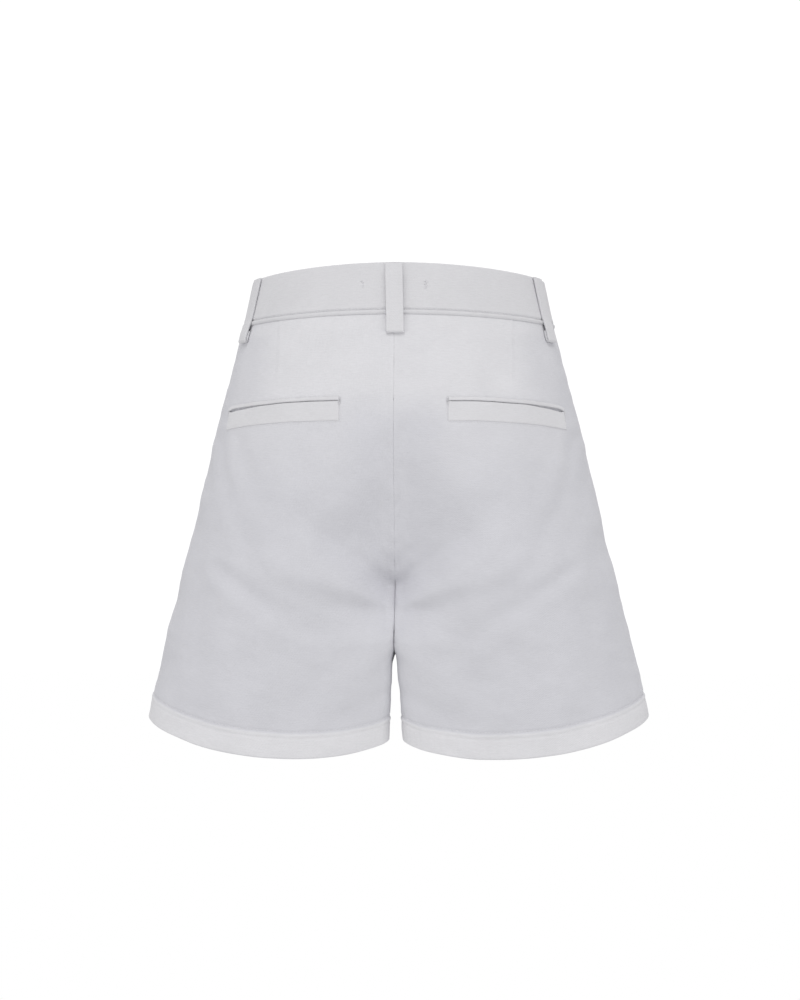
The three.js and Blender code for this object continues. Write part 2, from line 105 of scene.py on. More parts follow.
# Height of each part of a level: at the waist seam, and its fall for each millimetre of drop.
Height = namedtuple("Height", "start fall")
HEIGHTS = SimpleNamespace(
    side=Height(-18.5, 1.0),
    back=Height(-13.5, 1.09),
    front=Height(-24.0, 1.023),
    inner=Height(-18.5, 1.0635),
)

# The ring of cloth round a leg at each drop. wide, inset and centre are its outer edge, inner edge and
# deepest place from the middle plane, rear and fore its depths, and square its squareness: 2 is an
# ellipse.
LEVEL_COLUMNS = ("drop", "wide", "inset", "centre", "rear", "fore", "square")
LEVELS = np.array(
    [
        (-BAND_HEIGHT, 125, -125, 0, 88, 85, 2),
        (0, 134, -134, 0, 96, 92, 2),
        (40, 144.5, -132, 6.25, 108, 98, 2.02),
        (90, 157, -110, 23.5, 119, 103, 2.06),
        (140, 168.6, -82, 43.3, 124, 105, 2.1),
        (185, 179, -50, 64, 122.5, 105, 2.12),
        (212, 185.6, -26, 77.3, 119.5, 104.4, 2.12),
        (230, 189.9, -11, 85.2, 117, 103.8, 2.12),
        (242, 192.8, -3.4, 89.8, 115.6, 103.4, 2.12),
        (CROTCH_DROP, 195.2, 0.15, 93.3, 114.5, 103, 2.12),
        (292, 205.3, 2.8, 103.5, 111, 100, 2.12),
        (OUTSEAM, 214, 5.6, 110, 108, 98, 2.12),
    ],
    dtype=float,
)

# Section of every fold: its width at its start and how much that grows, how fast it ends past its
# ends, and the height, place and width of its raised sides.
FOLD = SimpleNamespace(narrow=0.7, widen=0.6, past=0.8, side=0.3, side_at=1.9, side_width=0.7)

# Folds begin this far above the waist seam, and are whole that far below where they begin.
FOLD_START = SimpleNamespace(above=1.0, over=16.0)

# Soft folds seen straight on: from one place to another, out from the middle plane and up in Z.
# depth is how far the trough goes in, or out where it is negative; spread is its half width, bow how
# far its middle lies to the left of the straight way, taper how much of the depth its far end has
# lost, and right how strong it is on the wearer's right.
Fold = namedtuple("Fold", "out height to_out to_height depth spread bow taper right")
BACK_FOLDS = [
    Fold(5, -236, 74, -178, 2.6, 9.0, -2, 0.55, 1.0),
    Fold(9, -247, 96, -217, -1.8, 8.0, -2, 0.35, 1.1),
    Fold(20, -258, 82, -232, 0.5, 7.5, -2, 0.6, 0.8),
    Fold(144, -222, 52, -284, 1.9, 8.0, 0, 0.5, 0.9),
    Fold(124, -247, 42, -301, -0.35, 9.5, 0, 0.3, 1.0),
    Fold(4, -288, 48, -321, -1.8, 9.0, 0, 0.3, 1.0),
    Fold(12, -328, 42, -347, 1.4, 8.0, 0, 0.4, 0.8),
    Fold(148, -115, 88, -246, 1.0, 7.5, 11, 0.2, 1.0),
    Fold(160, -128, 112, -252, 0.7, 7.0, 9, 0.2, 0.8),
    Fold(130, -112, 74, -216, 0.6, 8.0, 9, 0.3, 0.7),
    Fold(160, -250, 172, -322, 1.6, 14.0, 0, 0.3, 1.0),
    Fold(3, -126, 20, -92, 0.5, 5.0, 1, 0.6, 1.1),
    Fold(3, -149, 26, -98, 0.7, 5.5, 2, 0.6, 0.6),
    Fold(3, -168, 36, -124, 0.3, 4.5, 2, 0.6, 1.6),
    Fold(3, -184, 46, -132, 0.5, 6.0, 2, 0.6, 0.6),
    Fold(3, -201, 42, -160, 0.35, 5.0, 2, 0.6, 1.3),
    Fold(3, -218, 66, -170, 0.8, 6.5, 2, 0.6, 0.9),
    Fold(6, -52, 66, -40, 0.6, 8.0, 0, 0.3, 1.0),
    Fold(6, -62, 70, -80, 0.7, 8.0, 0, 0.3, 1.0),
]
FRONT_FOLDS = [
    Fold(4, -240, 72, -192, 1.9, 7.0, -2, 0.55, 1.0),
    Fold(12, -250, 92, -224, -1.2, 7.0, -2, 0.4, 0.9),
    Fold(20, -262, 88, -240, 1.2, 6.0, -2, 0.5, 1.1),
    Fold(142, -226, 54, -290, 1.7, 7.5, 0, 0.4, 0.9),
    Fold(6, -290, 48, -322, -1.1, 8.5, 0, 0.3, 1.0),
    Fold(146, -112, 90, -240, 0.8, 7.0, 10, 0.2, 0.9),
    Fold(158, -258, 172, -322, 1.1, 13.0, 0, 0.3, 1.0),
    Fold(36, -98, 62, -150, 0.5, 7.0, 3, 0.4, 0.8),
    Fold(30, -134, 66, -176, 0.5, 6.0, 2, 0.5, 1.1),
]

# The cloth of the seat draws in at the centre seam below the hips: how deep, the heights between
# which it deepens and its half width at both. It comes out again over the thighs below a line that
# rises outwards from the crotch: its height at the middle, its slope, and how tall the change is and
# which share of that lies above the line. thick is how far back the cloth has to be for all of it.
SEAT_HOLLOW = SimpleNamespace(
    depth=22.0,
    top=-92.0,
    bottom=-206.0,
    top_half=18.0,
    bottom_half=60.0,
    line=-238.0,
    rise=0.66,
    recovery=34.0,
    above=0.3,
    thick=40.0,
)

# The thighs fill the inner corners of the legs, front and back: exponent of the fuller section, how
# far from the middle plane and from the inside leg seam it is whole, the drops between which it comes
# in, and how much the cloth rises there for each millimetre out and each millimetre below the hips.
THIGH = SimpleNamespace(square=22.0, run_in=1.0, seam=12.0, top=200.0, full=250.0, rise=1 / 1800, hips=-165.0)

# The inside of a leg leans away from the other leg towards the front: by how much at the seam, how far
# across the leg, and the drops between which it comes in.
SPLAY = SimpleNamespace(lean=7.0, depth=98.0, reach=42.0, top=247.0, full=286.0)

# Below the crotch the legs touch before they part. They touch from crotch down, over a change as
# tall as closing, until they part between top and bottom; cloth nearer to the middle plane than reach
# is drawn to it. The gap lies towards the wearer's right by up to shift, over a height of shift_over.
TOUCH = SimpleNamespace(
    crotch=-230.0, closing=8.0, top=-262.0, bottom=-284.0, reach=7.0, shift=1.6, shift_over=120.0
)

# Each belt loop: its solid, the half and hand that it lies on, its share of the way from the centre to
# the side seam, how far it bows out, and how far it leans.
LOOPS = [
    ("belt_loop_back", "back", 1, 0.0, 1.1, 0.8),
    ("belt_loop_side_left", "back", 1, 0.81, 0.0, 0.0),
    ("belt_loop_side_right", "back", -1, 0.81, 0.0, 0.0),
    ("belt_loop_front_left", "front", 1, 0.48, 1.2, 0.0),
    ("belt_loop_front_right", "front", -1, 0.48, 1.2, 0.0),
]

# Sewn edges all but touch.
EDGE_GAP = 0.015

# The hem's rounded edge, the step up to its second layer, and the puckers by hem and waistband.
HEM_ROUND = 0.9
HEM_STEP = SimpleNamespace(height=0.3, start=-0.6, width=1.2)
PUCKER = SimpleNamespace(hem=0.17, edge=4.0, waist=0.1, waist_drop=4.0, waist_width=5.0)

# Pocket lips and welts: how far from the slit their edges lie, and how far their faces' edges and
# their undersides stand off the panel.
PATCH_GAP = 0.1
BASE_LIFT = 0.12
BACK_LIFT = 0.08

# Trim is cut from other places of the same cloth, so its yarns don't run on from the panels.
PATCH_FLAT_SHIFT = 400.0
SHIELD_FLAT_SHIFT = 700.0

# Seam allowances lie behind the cloth and lift it.
ALLOWANCE = SimpleNamespace(width=8.0, edge=3.0, side=0.16, centre=0.12)

# Grooves and ridges beside a row of sewing: height, which is negative for a groove, how far from the
# row it lies, and its width.
Crease = namedtuple("Crease", "height at width")
CENTRE_CREASES = (Crease(-0.05, 0.0, 0.5),)
SIDE_CREASES = (Crease(-0.2, 0.0, 0.6),)
WAIST_CREASES = (Crease(-0.15, 0.0, 1.0),)
HEM_CREASES = (Crease(-0.4, 0.9, 1.0), Crease(0.3, -1.8, 1.3), Crease(-0.2, -4.2, 0.9))
DART_CREASES = (Crease(-0.42, 0.0, 0.7), Crease(0.2, -1.8, 1.4))
FLY_CREASES = (Crease(-0.22, 0.0, 0.7), Crease(0.12, 1.8, 1.2))
LIP_CREASES = (Crease(-0.3, 0.4, 0.7),)
BAND_CREASES = (Crease(0.7, 2.0, 1.25), Crease(-0.85, 3.9, 0.6), Crease(0.12, 6.2, 1.2))

# How much whiter each layer behind the cloth makes it look, from 0 to 1. The yoke entry lightens the upper
# centre back partly for a layer behind it and partly as painted light from above.
BACKING_AND_PAINTED_LIGHT = SimpleNamespace(waist=0.4, centre=0.06, side=0.15, pocket=0.3, yoke_and_painted_light=0.8, fly=0.22)

DART = SimpleNamespace(out=98.0, length=58.0, fade=14.0)
FLY_STITCH = SimpleNamespace(width=33.0, bottom=146.0, turn=30.0)
TACK = SimpleNamespace(stitches=15, half_width=0.8)
LABEL_TACK = SimpleNamespace(out=26.0, drop=-23.0, tall=5.6, wide=2.2)
HANDS = {1: "left", -1: "right"}
WHITE = (1.0, 1.0, 1.0, 1.0)


def smooth(t):
    """0 below 0, 1 above 1, and a smooth step between them."""
    c = np.clip(t, 0.0, 1.0)
    return c * c * (3.0 - 2.0 * c)


def falls(value, start, width):
    """1 up to a start, 0 from one width past it, and a smooth step between them."""
    return 1 - smooth((value - start) / width)


def bump(distance, width):
    """A bell of height 1 at distance 0, that has fallen to a third at one width away."""
    return np.exp(-((distance / width) ** 2))


def creases(distance, rows):
    """Sum of the rows' grooves and ridges at a distance from their line: a bell for each."""
    return sum(row.height * bump(distance - row.at, row.width) for row in rows)


def unit(vectors):
    """Vectors of length 1 in the same directions."""
    return vectors / np.maximum(np.linalg.norm(vectors, axis=-1, keepdims=True), 1e-9)


def quarter_round(distance, radius):
    """Height of a rounded edge at a distance in from it, from 0 to 1: a quarter of a circle."""
    return np.sqrt(np.clip(1 - (1 - np.clip(distance / radius, 0, 1)) ** 2, 0, 1))


def signed_power(value, power):
    """Power of the size of a number, with the number's own sign."""
    return np.sign(value) * np.abs(value) ** power


def through(column):
    """Curve through a column of LEVELS that never overshoots its rows.

    Each piece is a cubic, and the slope at a row is the harmonic mean of the slopes beside it.
    """
    x = LEVELS[:, 0]
    y = LEVELS[:, LEVEL_COLUMNS.index(column)]
    slopes = np.diff(y) / np.diff(x)
    before, after = slopes[:-1], slopes[1:]
    rising = before * after > 0
    inner = np.where(rising, 2 * before * after / np.where(rising, before + after, 1.0), 0.0)
    tangents = np.concatenate([slopes[:1], inner, slopes[-1:]])

    def curve(at):
        i = np.clip(np.searchsorted(x, at) - 1, 0, len(slopes) - 1)
        step = x[i + 1] - x[i]
        t = (at - x[i]) / step
        t2, t3 = t * t, t * t * t
        start = y[i] * (2 * t3 - 3 * t2 + 1) + step * tangents[i] * (t3 - 2 * t2 + t)
        return start + y[i + 1] * (3 * t2 - 2 * t3) + step * tangents[i + 1] * (t3 - t2)

    return curve


CURVES = {name: through(name) for name in LEVEL_COLUMNS[1:]}


def level_at(drop):
    """The ring's sizes at a drop: its centre and reach across, its depths, and its heights."""
    drop = np.asarray(drop, dtype=float)
    wide, inset, centre = (CURVES[name](drop) for name in ("wide", "inset", "centre"))
    side, back, front, inner = (
        part.start - part.fall * drop
        for part in (HEIGHTS.side, HEIGHTS.back, HEIGHTS.front, HEIGHTS.inner)
    )
    return SimpleNamespace(
        centre=centre,
        outer=wide - centre,
        inner=centre - inset,
        rear=CURVES["rear"](drop),
        fore=CURVES["fore"](drop),
        power=2 / CURVES["square"](drop),
        valley=VALLEY_ROUND * np.clip(-inset / VALLEY_REACH, 0, 1),
        middle=(side + inner) / 2,
        lean=(side - inner) / 2,
        back=back,
        front=front,
    )


def ring(level, angle):
    """A point of the left tube: a superellipse round its centre, with reaches of its own outwards,
    inwards, back and front, whose inner side is softened where it would cross the middle plane. Its
    height changes with the cosine across, and with the sine squared to front and back."""
    c, s = np.cos(angle), np.sin(angle)
    x = level.centre + np.where(c > 0, level.outer, level.inner) * signed_power(c, level.power)
    depth = np.where(s > 0, level.rear, level.fore)
    end = np.where(s > 0, level.back, level.front)
    return np.stack(
        [
            np.sqrt(np.maximum(0.0, x * x - level.valley**2)),
            depth * signed_power(s, level.power),
            level.middle + level.lean * c + (end - level.middle) * s * s,
        ],
        axis=-1,
    )


class Side:
    """The front or the back half; sign is 1 for the back. It finds a ring's angle for a run of cloth,
    from a table of arc lengths whose rows lie closer together just above the crotch."""

    STEPS = 240
    FIRST_DROP, CLOSE_FROM, LAST_DROP = -44, 236, 336
    WIDE, CLOSE = 2.0, 0.25

    def __init__(self, sign):
        self.sign = sign
        above = np.arange(self.FIRST_DROP, self.CLOSE_FROM, self.WIDE)
        by_crotch = np.arange(self.CLOSE_FROM, CROTCH_DROP, self.CLOSE)
        below = np.arange(CROTCH_DROP, self.LAST_DROP, self.WIDE)
        self.drops = np.concatenate([above, by_crotch, below])
        level = level_at(self.drops[:, None])
        edge = np.hypot(level.valley, EDGE_GAP) - level.centre
        edge = edge / np.where(edge > 0, level.outer, level.inner)
        seam = np.arccos(np.clip(signed_power(edge, 1 / level.power), -1, 1)) * sign
        shares = np.linspace(0, 1, self.STEPS + 1)
        angles = seam * (1 - shares)
        points = ring(level, angles)
        steps = np.linalg.norm(np.diff(points, axis=1), axis=2)
        arcs = np.concatenate([np.zeros((len(self.drops), 1)), np.cumsum(steps, axis=1)], axis=1)
        self.lengths = arcs[:, -1]
        self.table = np.stack([np.interp(shares * arc[-1], arc, row) for arc, row in zip(arcs, angles)])

    def length(self, drop):
        return np.interp(drop, self.drops, self.lengths)

    def angle(self, drop, run):
        """Angle at a run, between the two nearest rows and columns of the table."""
        share = np.clip(run / self.length(drop), 0, 1) * self.STEPS
        j = np.minimum(share.astype(int), self.STEPS - 1)
        i = np.clip(np.searchsorted(self.drops, drop) - 1, 0, len(self.drops) - 2)
        down = np.clip((drop - self.drops[i]) / (self.drops[i + 1] - self.drops[i]), 0, 1)
        along = share - j
        near = self.table[i, j] * (1 - along) + self.table[i, j + 1] * along
        far = self.table[i + 1, j] * (1 - along) + self.table[i + 1, j + 1] * along
        return near * (1 - down) + far * down


SIDES = {"back": Side(1), "front": Side(-1)}


def outward(drop, angle, level, point):
    """Unit direction out of the cloth: across its slopes round the ring and down the garment."""
    turn, down = 0.01, 1.0
    around = ring(level, angle + turn) - ring(level, angle - turn)
    along = ring(level_at(drop + down), angle) - ring(level_at(drop - down), angle)
    normal = unit(np.cross(around, along))
    facing = normal[..., 0] * (point[..., 0] - level.centre) + normal[..., 1] * point[..., 1]
    return np.where(facing[..., None] < 0, -normal, normal)


def seat_hollow(point):
    """How far the seat draws in: a bell across the middle plane that deepens and widens downwards,
    as far as the line where it comes out again."""
    hollow = SEAT_HOLLOW
    out, depth, height = np.abs(point[..., 0]), point[..., 1], point[..., 2]
    down = smooth((hollow.top - height) / (hollow.top - hollow.bottom))
    line = hollow.line + hollow.rise * out
    recovered = smooth((line + hollow.above * hollow.recovery - height) / hollow.recovery)
    half = hollow.top_half + (hollow.bottom_half - hollow.top_half) * down
    return hollow.depth * np.exp(-((out / half) ** 2)) * down * (1 - recovered) * smooth(depth / hollow.thick)


def thigh_fullness(level, drop, angle, point):
    """How much deeper the leg is than its ellipse on its inner half, from a squarer section."""
    across = np.abs(signed_power(np.cos(angle), level.power))
    square = 2 / level.power
    plain = np.maximum(0.0, 1 - across**square) ** (1 / square)
    full = np.maximum(0.0, 1 - across**THIGH.square) ** (1 / THIGH.square)
    share = smooth(point[..., 0] / THIGH.run_in) * smooth((drop - THIGH.top) / (THIGH.full - THIGH.top))
    share = share * smooth(np.abs(point[..., 1]) / THIGH.seam)
    return np.where(np.cos(angle) < 0, share * (full - plain), 0.0)


def fold_depth(folds, hand, point):
    """How far the folds push a point in: a bell across each fold's bowed line, which widens along the
    way, with a raised side at about two widths."""
    total = 0.0
    for fold in folds:
        dx, dz = fold.to_out - fold.out, fold.to_height - fold.height
        length = math.hypot(dx, dz)
        px, pz = point[..., 0] - fold.out, point[..., 2] - fold.height
        along = (px * dx + pz * dz) / length**2
        inside = np.clip(along, 0, 1)
        away = (pz * dx - px * dz) / length - fold.bow * 4 * inside * (1 - inside)
        past = np.maximum(0, np.maximum(-along, along - 1)) * length
        spread = fold.spread * (FOLD.narrow + FOLD.widen * inside)
        distance = np.hypot(away, FOLD.past * past) / spread
        raised = FOLD.side * np.exp(-((distance - FOLD.side_at) ** 2) / FOLD.side_width)
        trough = np.exp(-(distance**2)) - raised
        strength = fold.depth * (fold.right if hand < 0 else 1.0)
        total = total + strength * (1 - fold.taper * inside) * trough
    return total


# Slow waves of the cloth between its seams: direction, wavelength and phase of each, from one seed.
# height is each wave's as a share of its length.
RIPPLE = SimpleNamespace(count=24, seed=7, shortest=8, longest=60, height=0.0032)
draws = np.random.default_rng(RIPPLE.seed)
RIPPLE_TURN = draws.uniform(0, math.pi, RIPPLE.count)
RIPPLE_LENGTH = draws.uniform(RIPPLE.shortest, RIPPLE.longest, RIPPLE.count)
RIPPLE_PHASE = draws.uniform(0, 2 * math.pi, RIPPLE.count)


def ripple(hand, point):
    """A sum of long sine waves over the picture of the cloth seen straight on, about 0.3 mm high."""
    total = 0.0
    for turn, length, phase in zip(RIPPLE_TURN, RIPPLE_LENGTH, RIPPLE_PHASE):
        across = hand * point[..., 0] * math.cos(turn) + point[..., 2] * math.sin(turn)
        total = total + length * np.sin(across * 2 * math.pi / length + phase)
    return RIPPLE.height * total


def lap_rise(part, hand, drop, run):
    """How far the left front's fly edge stands out over the right front."""
    if part != "front" or hand < 0:
        return 0.0
    fade = falls(drop, FLY_LENGTH - FLY_FADE, FLY_FADE)
    return LAP_RISE * fade * smooth((LAP_WIDTH + LAP_SLOPE - run) / LAP_SLOPE)


def lap_reach(drop):
    """How far the left front reaches over the right one, as far as the fly opens."""
    return FLY_LAP * falls(drop, FLY_LENGTH - FLY_CLOSED, FLY_CLOSING)


def cloth(part, hand, drop, run, out=0.0):
    """Points of the cloth, and their directions out of it. hand is 1 on the wearer's left."""
    side = SIDES[part]
    drop, run, out = np.broadcast_arrays(*(np.asarray(v, dtype=float) for v in (drop, run, out)))
    angle = side.angle(drop, np.minimum(np.abs(run), side.length(drop)))
    level = level_at(drop)
    point = ring(level, angle)
    normal = outward(drop, angle, level, point)
    folds = BACK_FOLDS if part == "back" else FRONT_FOLDS
    strength = bpy.context.scene.shorts_cut.folds
    settled = smooth((drop + FOLD_START.above) / FOLD_START.over) * strength
    drape = ripple(hand, point) - fold_depth(folds, hand, point)
    hollow = seat_hollow(point) if part == "back" else 0.0
    lift = out + lap_rise(part, hand, drop, run) + settled * drape
    fuller = thigh_fullness(level, drop, angle, point) * (level.rear if side.sign > 0 else level.fore)
    point = point + normal * lift[..., None]
    point[..., 1] += side.sign * fuller - hollow
    point[..., 2] -= (point[..., 2] - THIGH.hips) * fuller * THIGH.rise
    leaning = SPLAY.lean * smooth((drop - SPLAY.top) / (SPLAY.full - SPLAY.top))
    leaning = leaning * (1 - smooth(point[..., 0] / SPLAY.reach)) * (1 - point[..., 1] / SPLAY.depth)
    apart = smooth((TOUCH.top - point[..., 2]) / (TOUCH.top - TOUCH.bottom))
    touching = smooth((TOUCH.crotch - point[..., 2]) / TOUCH.closing) * (1 - apart)
    drawn = 1 - smooth(point[..., 0] / TOUCH.reach)
    point[..., 0] *= 1 - touching * drawn
    point[..., 0] += leaning
    low = smooth((TOUCH.top - point[..., 2]) / TOUCH.shift_over) * (1 - smooth(point[..., 0] / SPLAY.reach))
    point[..., 0] -= hand * TOUCH.shift * low
    point[..., 0] = np.maximum(point[..., 0], EDGE_GAP)
    flip = np.where(run < 0, -hand, hand)
    point[..., 0] *= flip
    normal[..., 0] *= flip
    return point, normal


def uneven(start, end, count, near, far):
    """Numbers from start to end: fixed small steps at each end and even ones between them."""
    inner = np.linspace(start + near[-1], end - far[-1], count)
    return np.concatenate([start + np.array(near[:-1]), inner, end - np.array(far[-2::-1])])


def quads(number):
    """Quads between the neighbours of a grid of point numbers."""
    corners = [number[:-1, :-1], number[:-1, 1:], number[1:, 1:], number[1:, :-1]]
    return np.stack(corners, -1).reshape(-1, 4)


def tube_quads(number):
    """Quads of a grid whose last column joins its first."""
    return quads(np.concatenate([number, number[:, :1]], axis=1))


def strip_faces(first, second):
    """Quads between two lists of point numbers of one length."""
    return np.stack([first[:-1], first[1:], second[1:], second[:-1]], -1)


def make_piece(name, points, faces, flat, material, slot="denim", replaces=None, backing=None):
    """A mesh object from points in millimetres, quads, and each point's place on the flat cloth.
    backing is how much other cloth lies behind each point, from 0 to 1, with painted light over the upper
    centre back; it sets how much of the painted shade of single-layer cloth is lifted there."""
    corners = points[faces]
    half = np.cross(corners[:, 1] - corners[:, 0], corners[:, 2] - corners[:, 0])
    other = np.cross(corners[:, 2] - corners[:, 0], corners[:, 3] - corners[:, 0])
    if np.sum(corners[:, 0] * (half + other)) < 0:
        faces = faces[:, ::-1]
    mesh = bpy.data.meshes.new(name)
    mesh.vertices.add(len(points))
    mesh.vertices.foreach_set("co", (points * MM).astype(np.float32).ravel())
    mesh.loops.add(faces.size)
    mesh.loops.foreach_set("vertex_index", faces.astype(np.int32).ravel())
    mesh.polygons.add(len(faces))
    mesh.polygons.foreach_set("loop_start", np.arange(0, faces.size, 4, dtype=np.int32))
    mesh.update(calc_edges=True)
    mesh.polygons.foreach_set("use_smooth", np.ones(len(faces), dtype=bool))
    uv = mesh.uv_layers.new(name="cloth")
    uv.data.foreach_set("uv", (flat[faces] * MM).astype(np.float32).ravel())
    if backing is not None:
        layer = mesh.attributes.new("backing", "FLOAT", "POINT")
        layer.data.foreach_set("value", backing.astype(np.float32).ravel())
    mesh.materials.append(material)
    piece = bpy.data.objects.new(name, mesh)
    bpy.context.collection.objects.link(piece)
    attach(piece, "root")
    if replaces:
        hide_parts(replaces)
    return piece


def shell(name, outer, inner, flat, material, **kind):
    """A closed wall between two grids of the same size, with a strip of quads on each of its edges."""
    rows, columns = outer.shape[:2]
    count = rows * columns
    number = np.arange(count).reshape(rows, columns)
    faces = [quads(number), quads(number + count)[:, ::-1]]
    for edge in (number[0], number[:, -1], number[-1, ::-1], number[::-1, 0]):
        faces.append(strip_faces(edge, edge + count)[:, ::-1])
    points = np.concatenate([outer.reshape(-1, 3), inner.reshape(-1, 3)])
    both = np.concatenate([flat.reshape(-1, 2)] * 2)
    return make_piece(name, points, np.concatenate(faces), both, material, **kind)


def bar(name, ribs, flat, material, **kind):
    """A closed outline carried along: ribs has a row for each stage and a column for each point of
    the outline, whose count is even. The ends are closed between opposite points."""
    stages, count = ribs.shape[:2]
    number = np.arange(stages * count).reshape(stages, count)
    faces = [tube_quads(number)]
    half = count // 2
    for row, flip in ((number[0], True), (number[-1], False)):
        ends = strip_faces(row[:half], row[: half - 1 : -1])
        faces.append(ends[:, ::-1] if flip else ends)
    return make_piece(name, ribs.reshape(-1, 3), np.concatenate(faces), flat.reshape(-1, 2), material, **kind)


class Value:
    """A number socket of a shader, with Python's arithmetic: each operation adds a Math node."""

    def __init__(self, tree, socket):
        self.tree = tree
        self.socket = socket

    def math(self, operation, *others, swap=False):
        node = self.tree.nodes.new("ShaderNodeMath")
        node.operation = operation
        terms = [self, *others]
        for slot, term in zip(node.inputs, reversed(terms) if swap else terms):
            if isinstance(term, Value):
                self.tree.links.new(term.socket, slot)
            else:
                slot.default_value = term
        return Value(self.tree, node.outputs[0])

    def __add__(self, other):
        return self.math("ADD", other)

    def __sub__(self, other):
        return self.math("SUBTRACT", other)

    def __rsub__(self, other):
        return self.math("SUBTRACT", other, swap=True)

    def __mul__(self, other):
        return self.math("MULTIPLY", other)

    __radd__ = __add__
    __rmul__ = __mul__

    def sine(self):
        return self.math("SINE")

    def between(self, low, high):
        node = self.tree.nodes.new("ShaderNodeMapRange")
        node.interpolation_type = "SMOOTHSTEP"
        self.tree.links.new(self.socket, node.inputs["Value"])
        node.inputs["From Min"].default_value = low
        node.inputs["From Max"].default_value = high
        return Value(self.tree, node.outputs["Result"])


class Shader:
    """A node material: add() makes a node from its type, its settings and its inputs."""

    def __init__(self, name, **sockets):
        self.material = bpy.data.materials.new(name)
        self.material.use_nodes = True
        self.tree = self.material.node_tree
        self.surface = self.tree.nodes["Principled BSDF"]
        for socket, value in sockets.items():
            self.surface.inputs[socket.replace("_", " ")].default_value = value

    def add(self, kind, settings=None, **inputs):
        node = self.tree.nodes.new(kind)
        for key, value in (settings or {}).items():
            setattr(node, key, value)
        for key, value in inputs.items():
            self.put(node.inputs[key.replace("_", " ")], value)
        return node

    def put(self, socket, value):
        if isinstance(value, Value):
            self.tree.links.new(value.socket, socket)
        elif isinstance(value, bpy.types.NodeSocket):
            self.tree.links.new(value, socket)
        else:
            socket.default_value = value

    def value(self, node, output=0):
        return Value(self.tree, node.outputs[output])

    def noise(self, vector, scale, detail=2.0, roughness=0.5):
        node = self.add("ShaderNodeTexNoise", Vector=vector, Scale=scale, Detail=detail, Roughness=roughness)
        return self.value(node, "Fac")

    def vector(self, x, y):
        return self.add("ShaderNodeCombineXYZ", X=x, Y=y).outputs[0]

    def mix(self, factor, first, second, blend="MIX"):
        node = self.add("ShaderNodeMix", {"data_type": "RGBA", "blend_type": blend}, Factor=factor)
        self.put(node.inputs[6], first)
        self.put(node.inputs[7], second)
        return node.outputs[2]


def rgba(color, factor=1.0):
    """A colour times a factor, at most white, with its alpha."""
    return tuple(min(1.0, channel * factor) for channel in color) + (1.0,)


# Noises of the denim: how often each changes in a millimetre across and down, its detail and its
# roughness. In order, the twill's wobble, long and short slubs, the nap and slow clouds.
Yarn = namedtuple("Yarn", "across down detail rough")
YARNS = (
    Yarn(0.05, 0.05, 2.0, 0.5),
    Yarn(0.16, 1.15, 4.0, 0.62),
    Yarn(0.55, 1.9, 2.0, 0.5),
    Yarn(2.6, 2.6, 3.0, 0.7),
    Yarn(0.021, 0.027, 3.0, 0.55),
)
WEFT_PITCH = 0.62

# Length of the thread's bands in metres.
THREAD_TWIST = 0.0006


def denim_material(name, tone=1.0, weave=1.0, single=False):
    """White twill: a steep diagonal rib, uneven weft yarns that run across, and a soft nap."""
    look = bpy.context.scene.shorts_cloth
    shader = Shader(name, Sheen_Weight=look.sheen, Sheen_Roughness=0.45, Specular_IOR_Level=0.22)
    flat = shader.add("ShaderNodeUVMap", {"uv_map": "cloth"}).outputs[0]
    split = shader.add("ShaderNodeSeparateXYZ", Vector=flat)
    across = shader.value(split, "X") * 1000.0
    down = shader.value(split, "Y") * 1000.0
    pitch = look.twill_pitch
    wobble, slub, short_slub, nap, cloud = (
        shader.noise(shader.vector(across * yarn.across, down * yarn.down), 1.0, yarn.detail, yarn.rough)
        for yarn in YARNS
    )
    wobble = wobble * 2.2
    steep, shallow = 0.86, 0.5
    rib = across * (steep * 2 * math.pi / pitch) + down * (shallow * 2 * math.pi / pitch)
    twill = (rib + wobble).sine()
    weft = (down * (2 * math.pi / WEFT_PITCH) + wobble).sine()
    tint = slub * 0.5 + short_slub * 0.22 + cloud * 0.28
    dark, light = rgba(look.color, tone * (1 - look.slub)), rgba(look.color, tone * (1 + look.slub))
    color = shader.mix(tint.between(0.28, 0.72), dark, light)
    # Painted shade: where no second layer lies behind, the panels are tinted darker and bluer, partly for the
    # thin cloth and partly as painted shade of the inside seen through it.
    if single:
        layer_shares_and_painted_light = shader.value(shader.add("ShaderNodeAttribute", {"attribute_name": "backing"}), "Fac")
        painted_shade_veil = shader.mix(layer_shares_and_painted_light, rgba(look.single_layer_painted_shade), WHITE)
        color = shader.mix(1.0, color, painted_shade_veil, "MULTIPLY")
    shader.put(shader.surface.inputs["Base Color"], color)
    shader.put(shader.surface.inputs["Roughness"], 0.84 + nap * 0.1)
    height = slub * 0.55 + short_slub * 0.3 + nap * 0.28 + twill * 0.1 + weft * 0.05
    strength = look.weave * weave
    relief = shader.add("ShaderNodeBump", Strength=strength, Distance=0.0004, Height=height)
    shader.put(shader.surface.inputs["Normal"], relief.outputs[0])
    return shader.material


def thread_material(name, factor):
    """Twisted sewing thread: fine bands that wind round it."""
    look = bpy.context.scene.shorts_cloth
    shader = Shader(name, Sheen_Weight=0.2, Specular_IOR_Level=0.3)
    place = shader.add("ShaderNodeTexCoord").outputs["Object"]
    split = shader.add("ShaderNodeSeparateXYZ", Vector=place)
    wind = sum(shader.value(split, axis) for axis in ("X", "Y", "Z")) * (2 * math.pi / THREAD_TWIST)
    band = wind.sine() * 0.5 + 0.5
    color = shader.mix(band, rgba(look.color, factor * 0.94), rgba(look.color, factor))
    shader.put(shader.surface.inputs["Base Color"], color)
    shader.put(shader.surface.inputs["Roughness"], 0.62 + band * 0.1)
    return shader.material


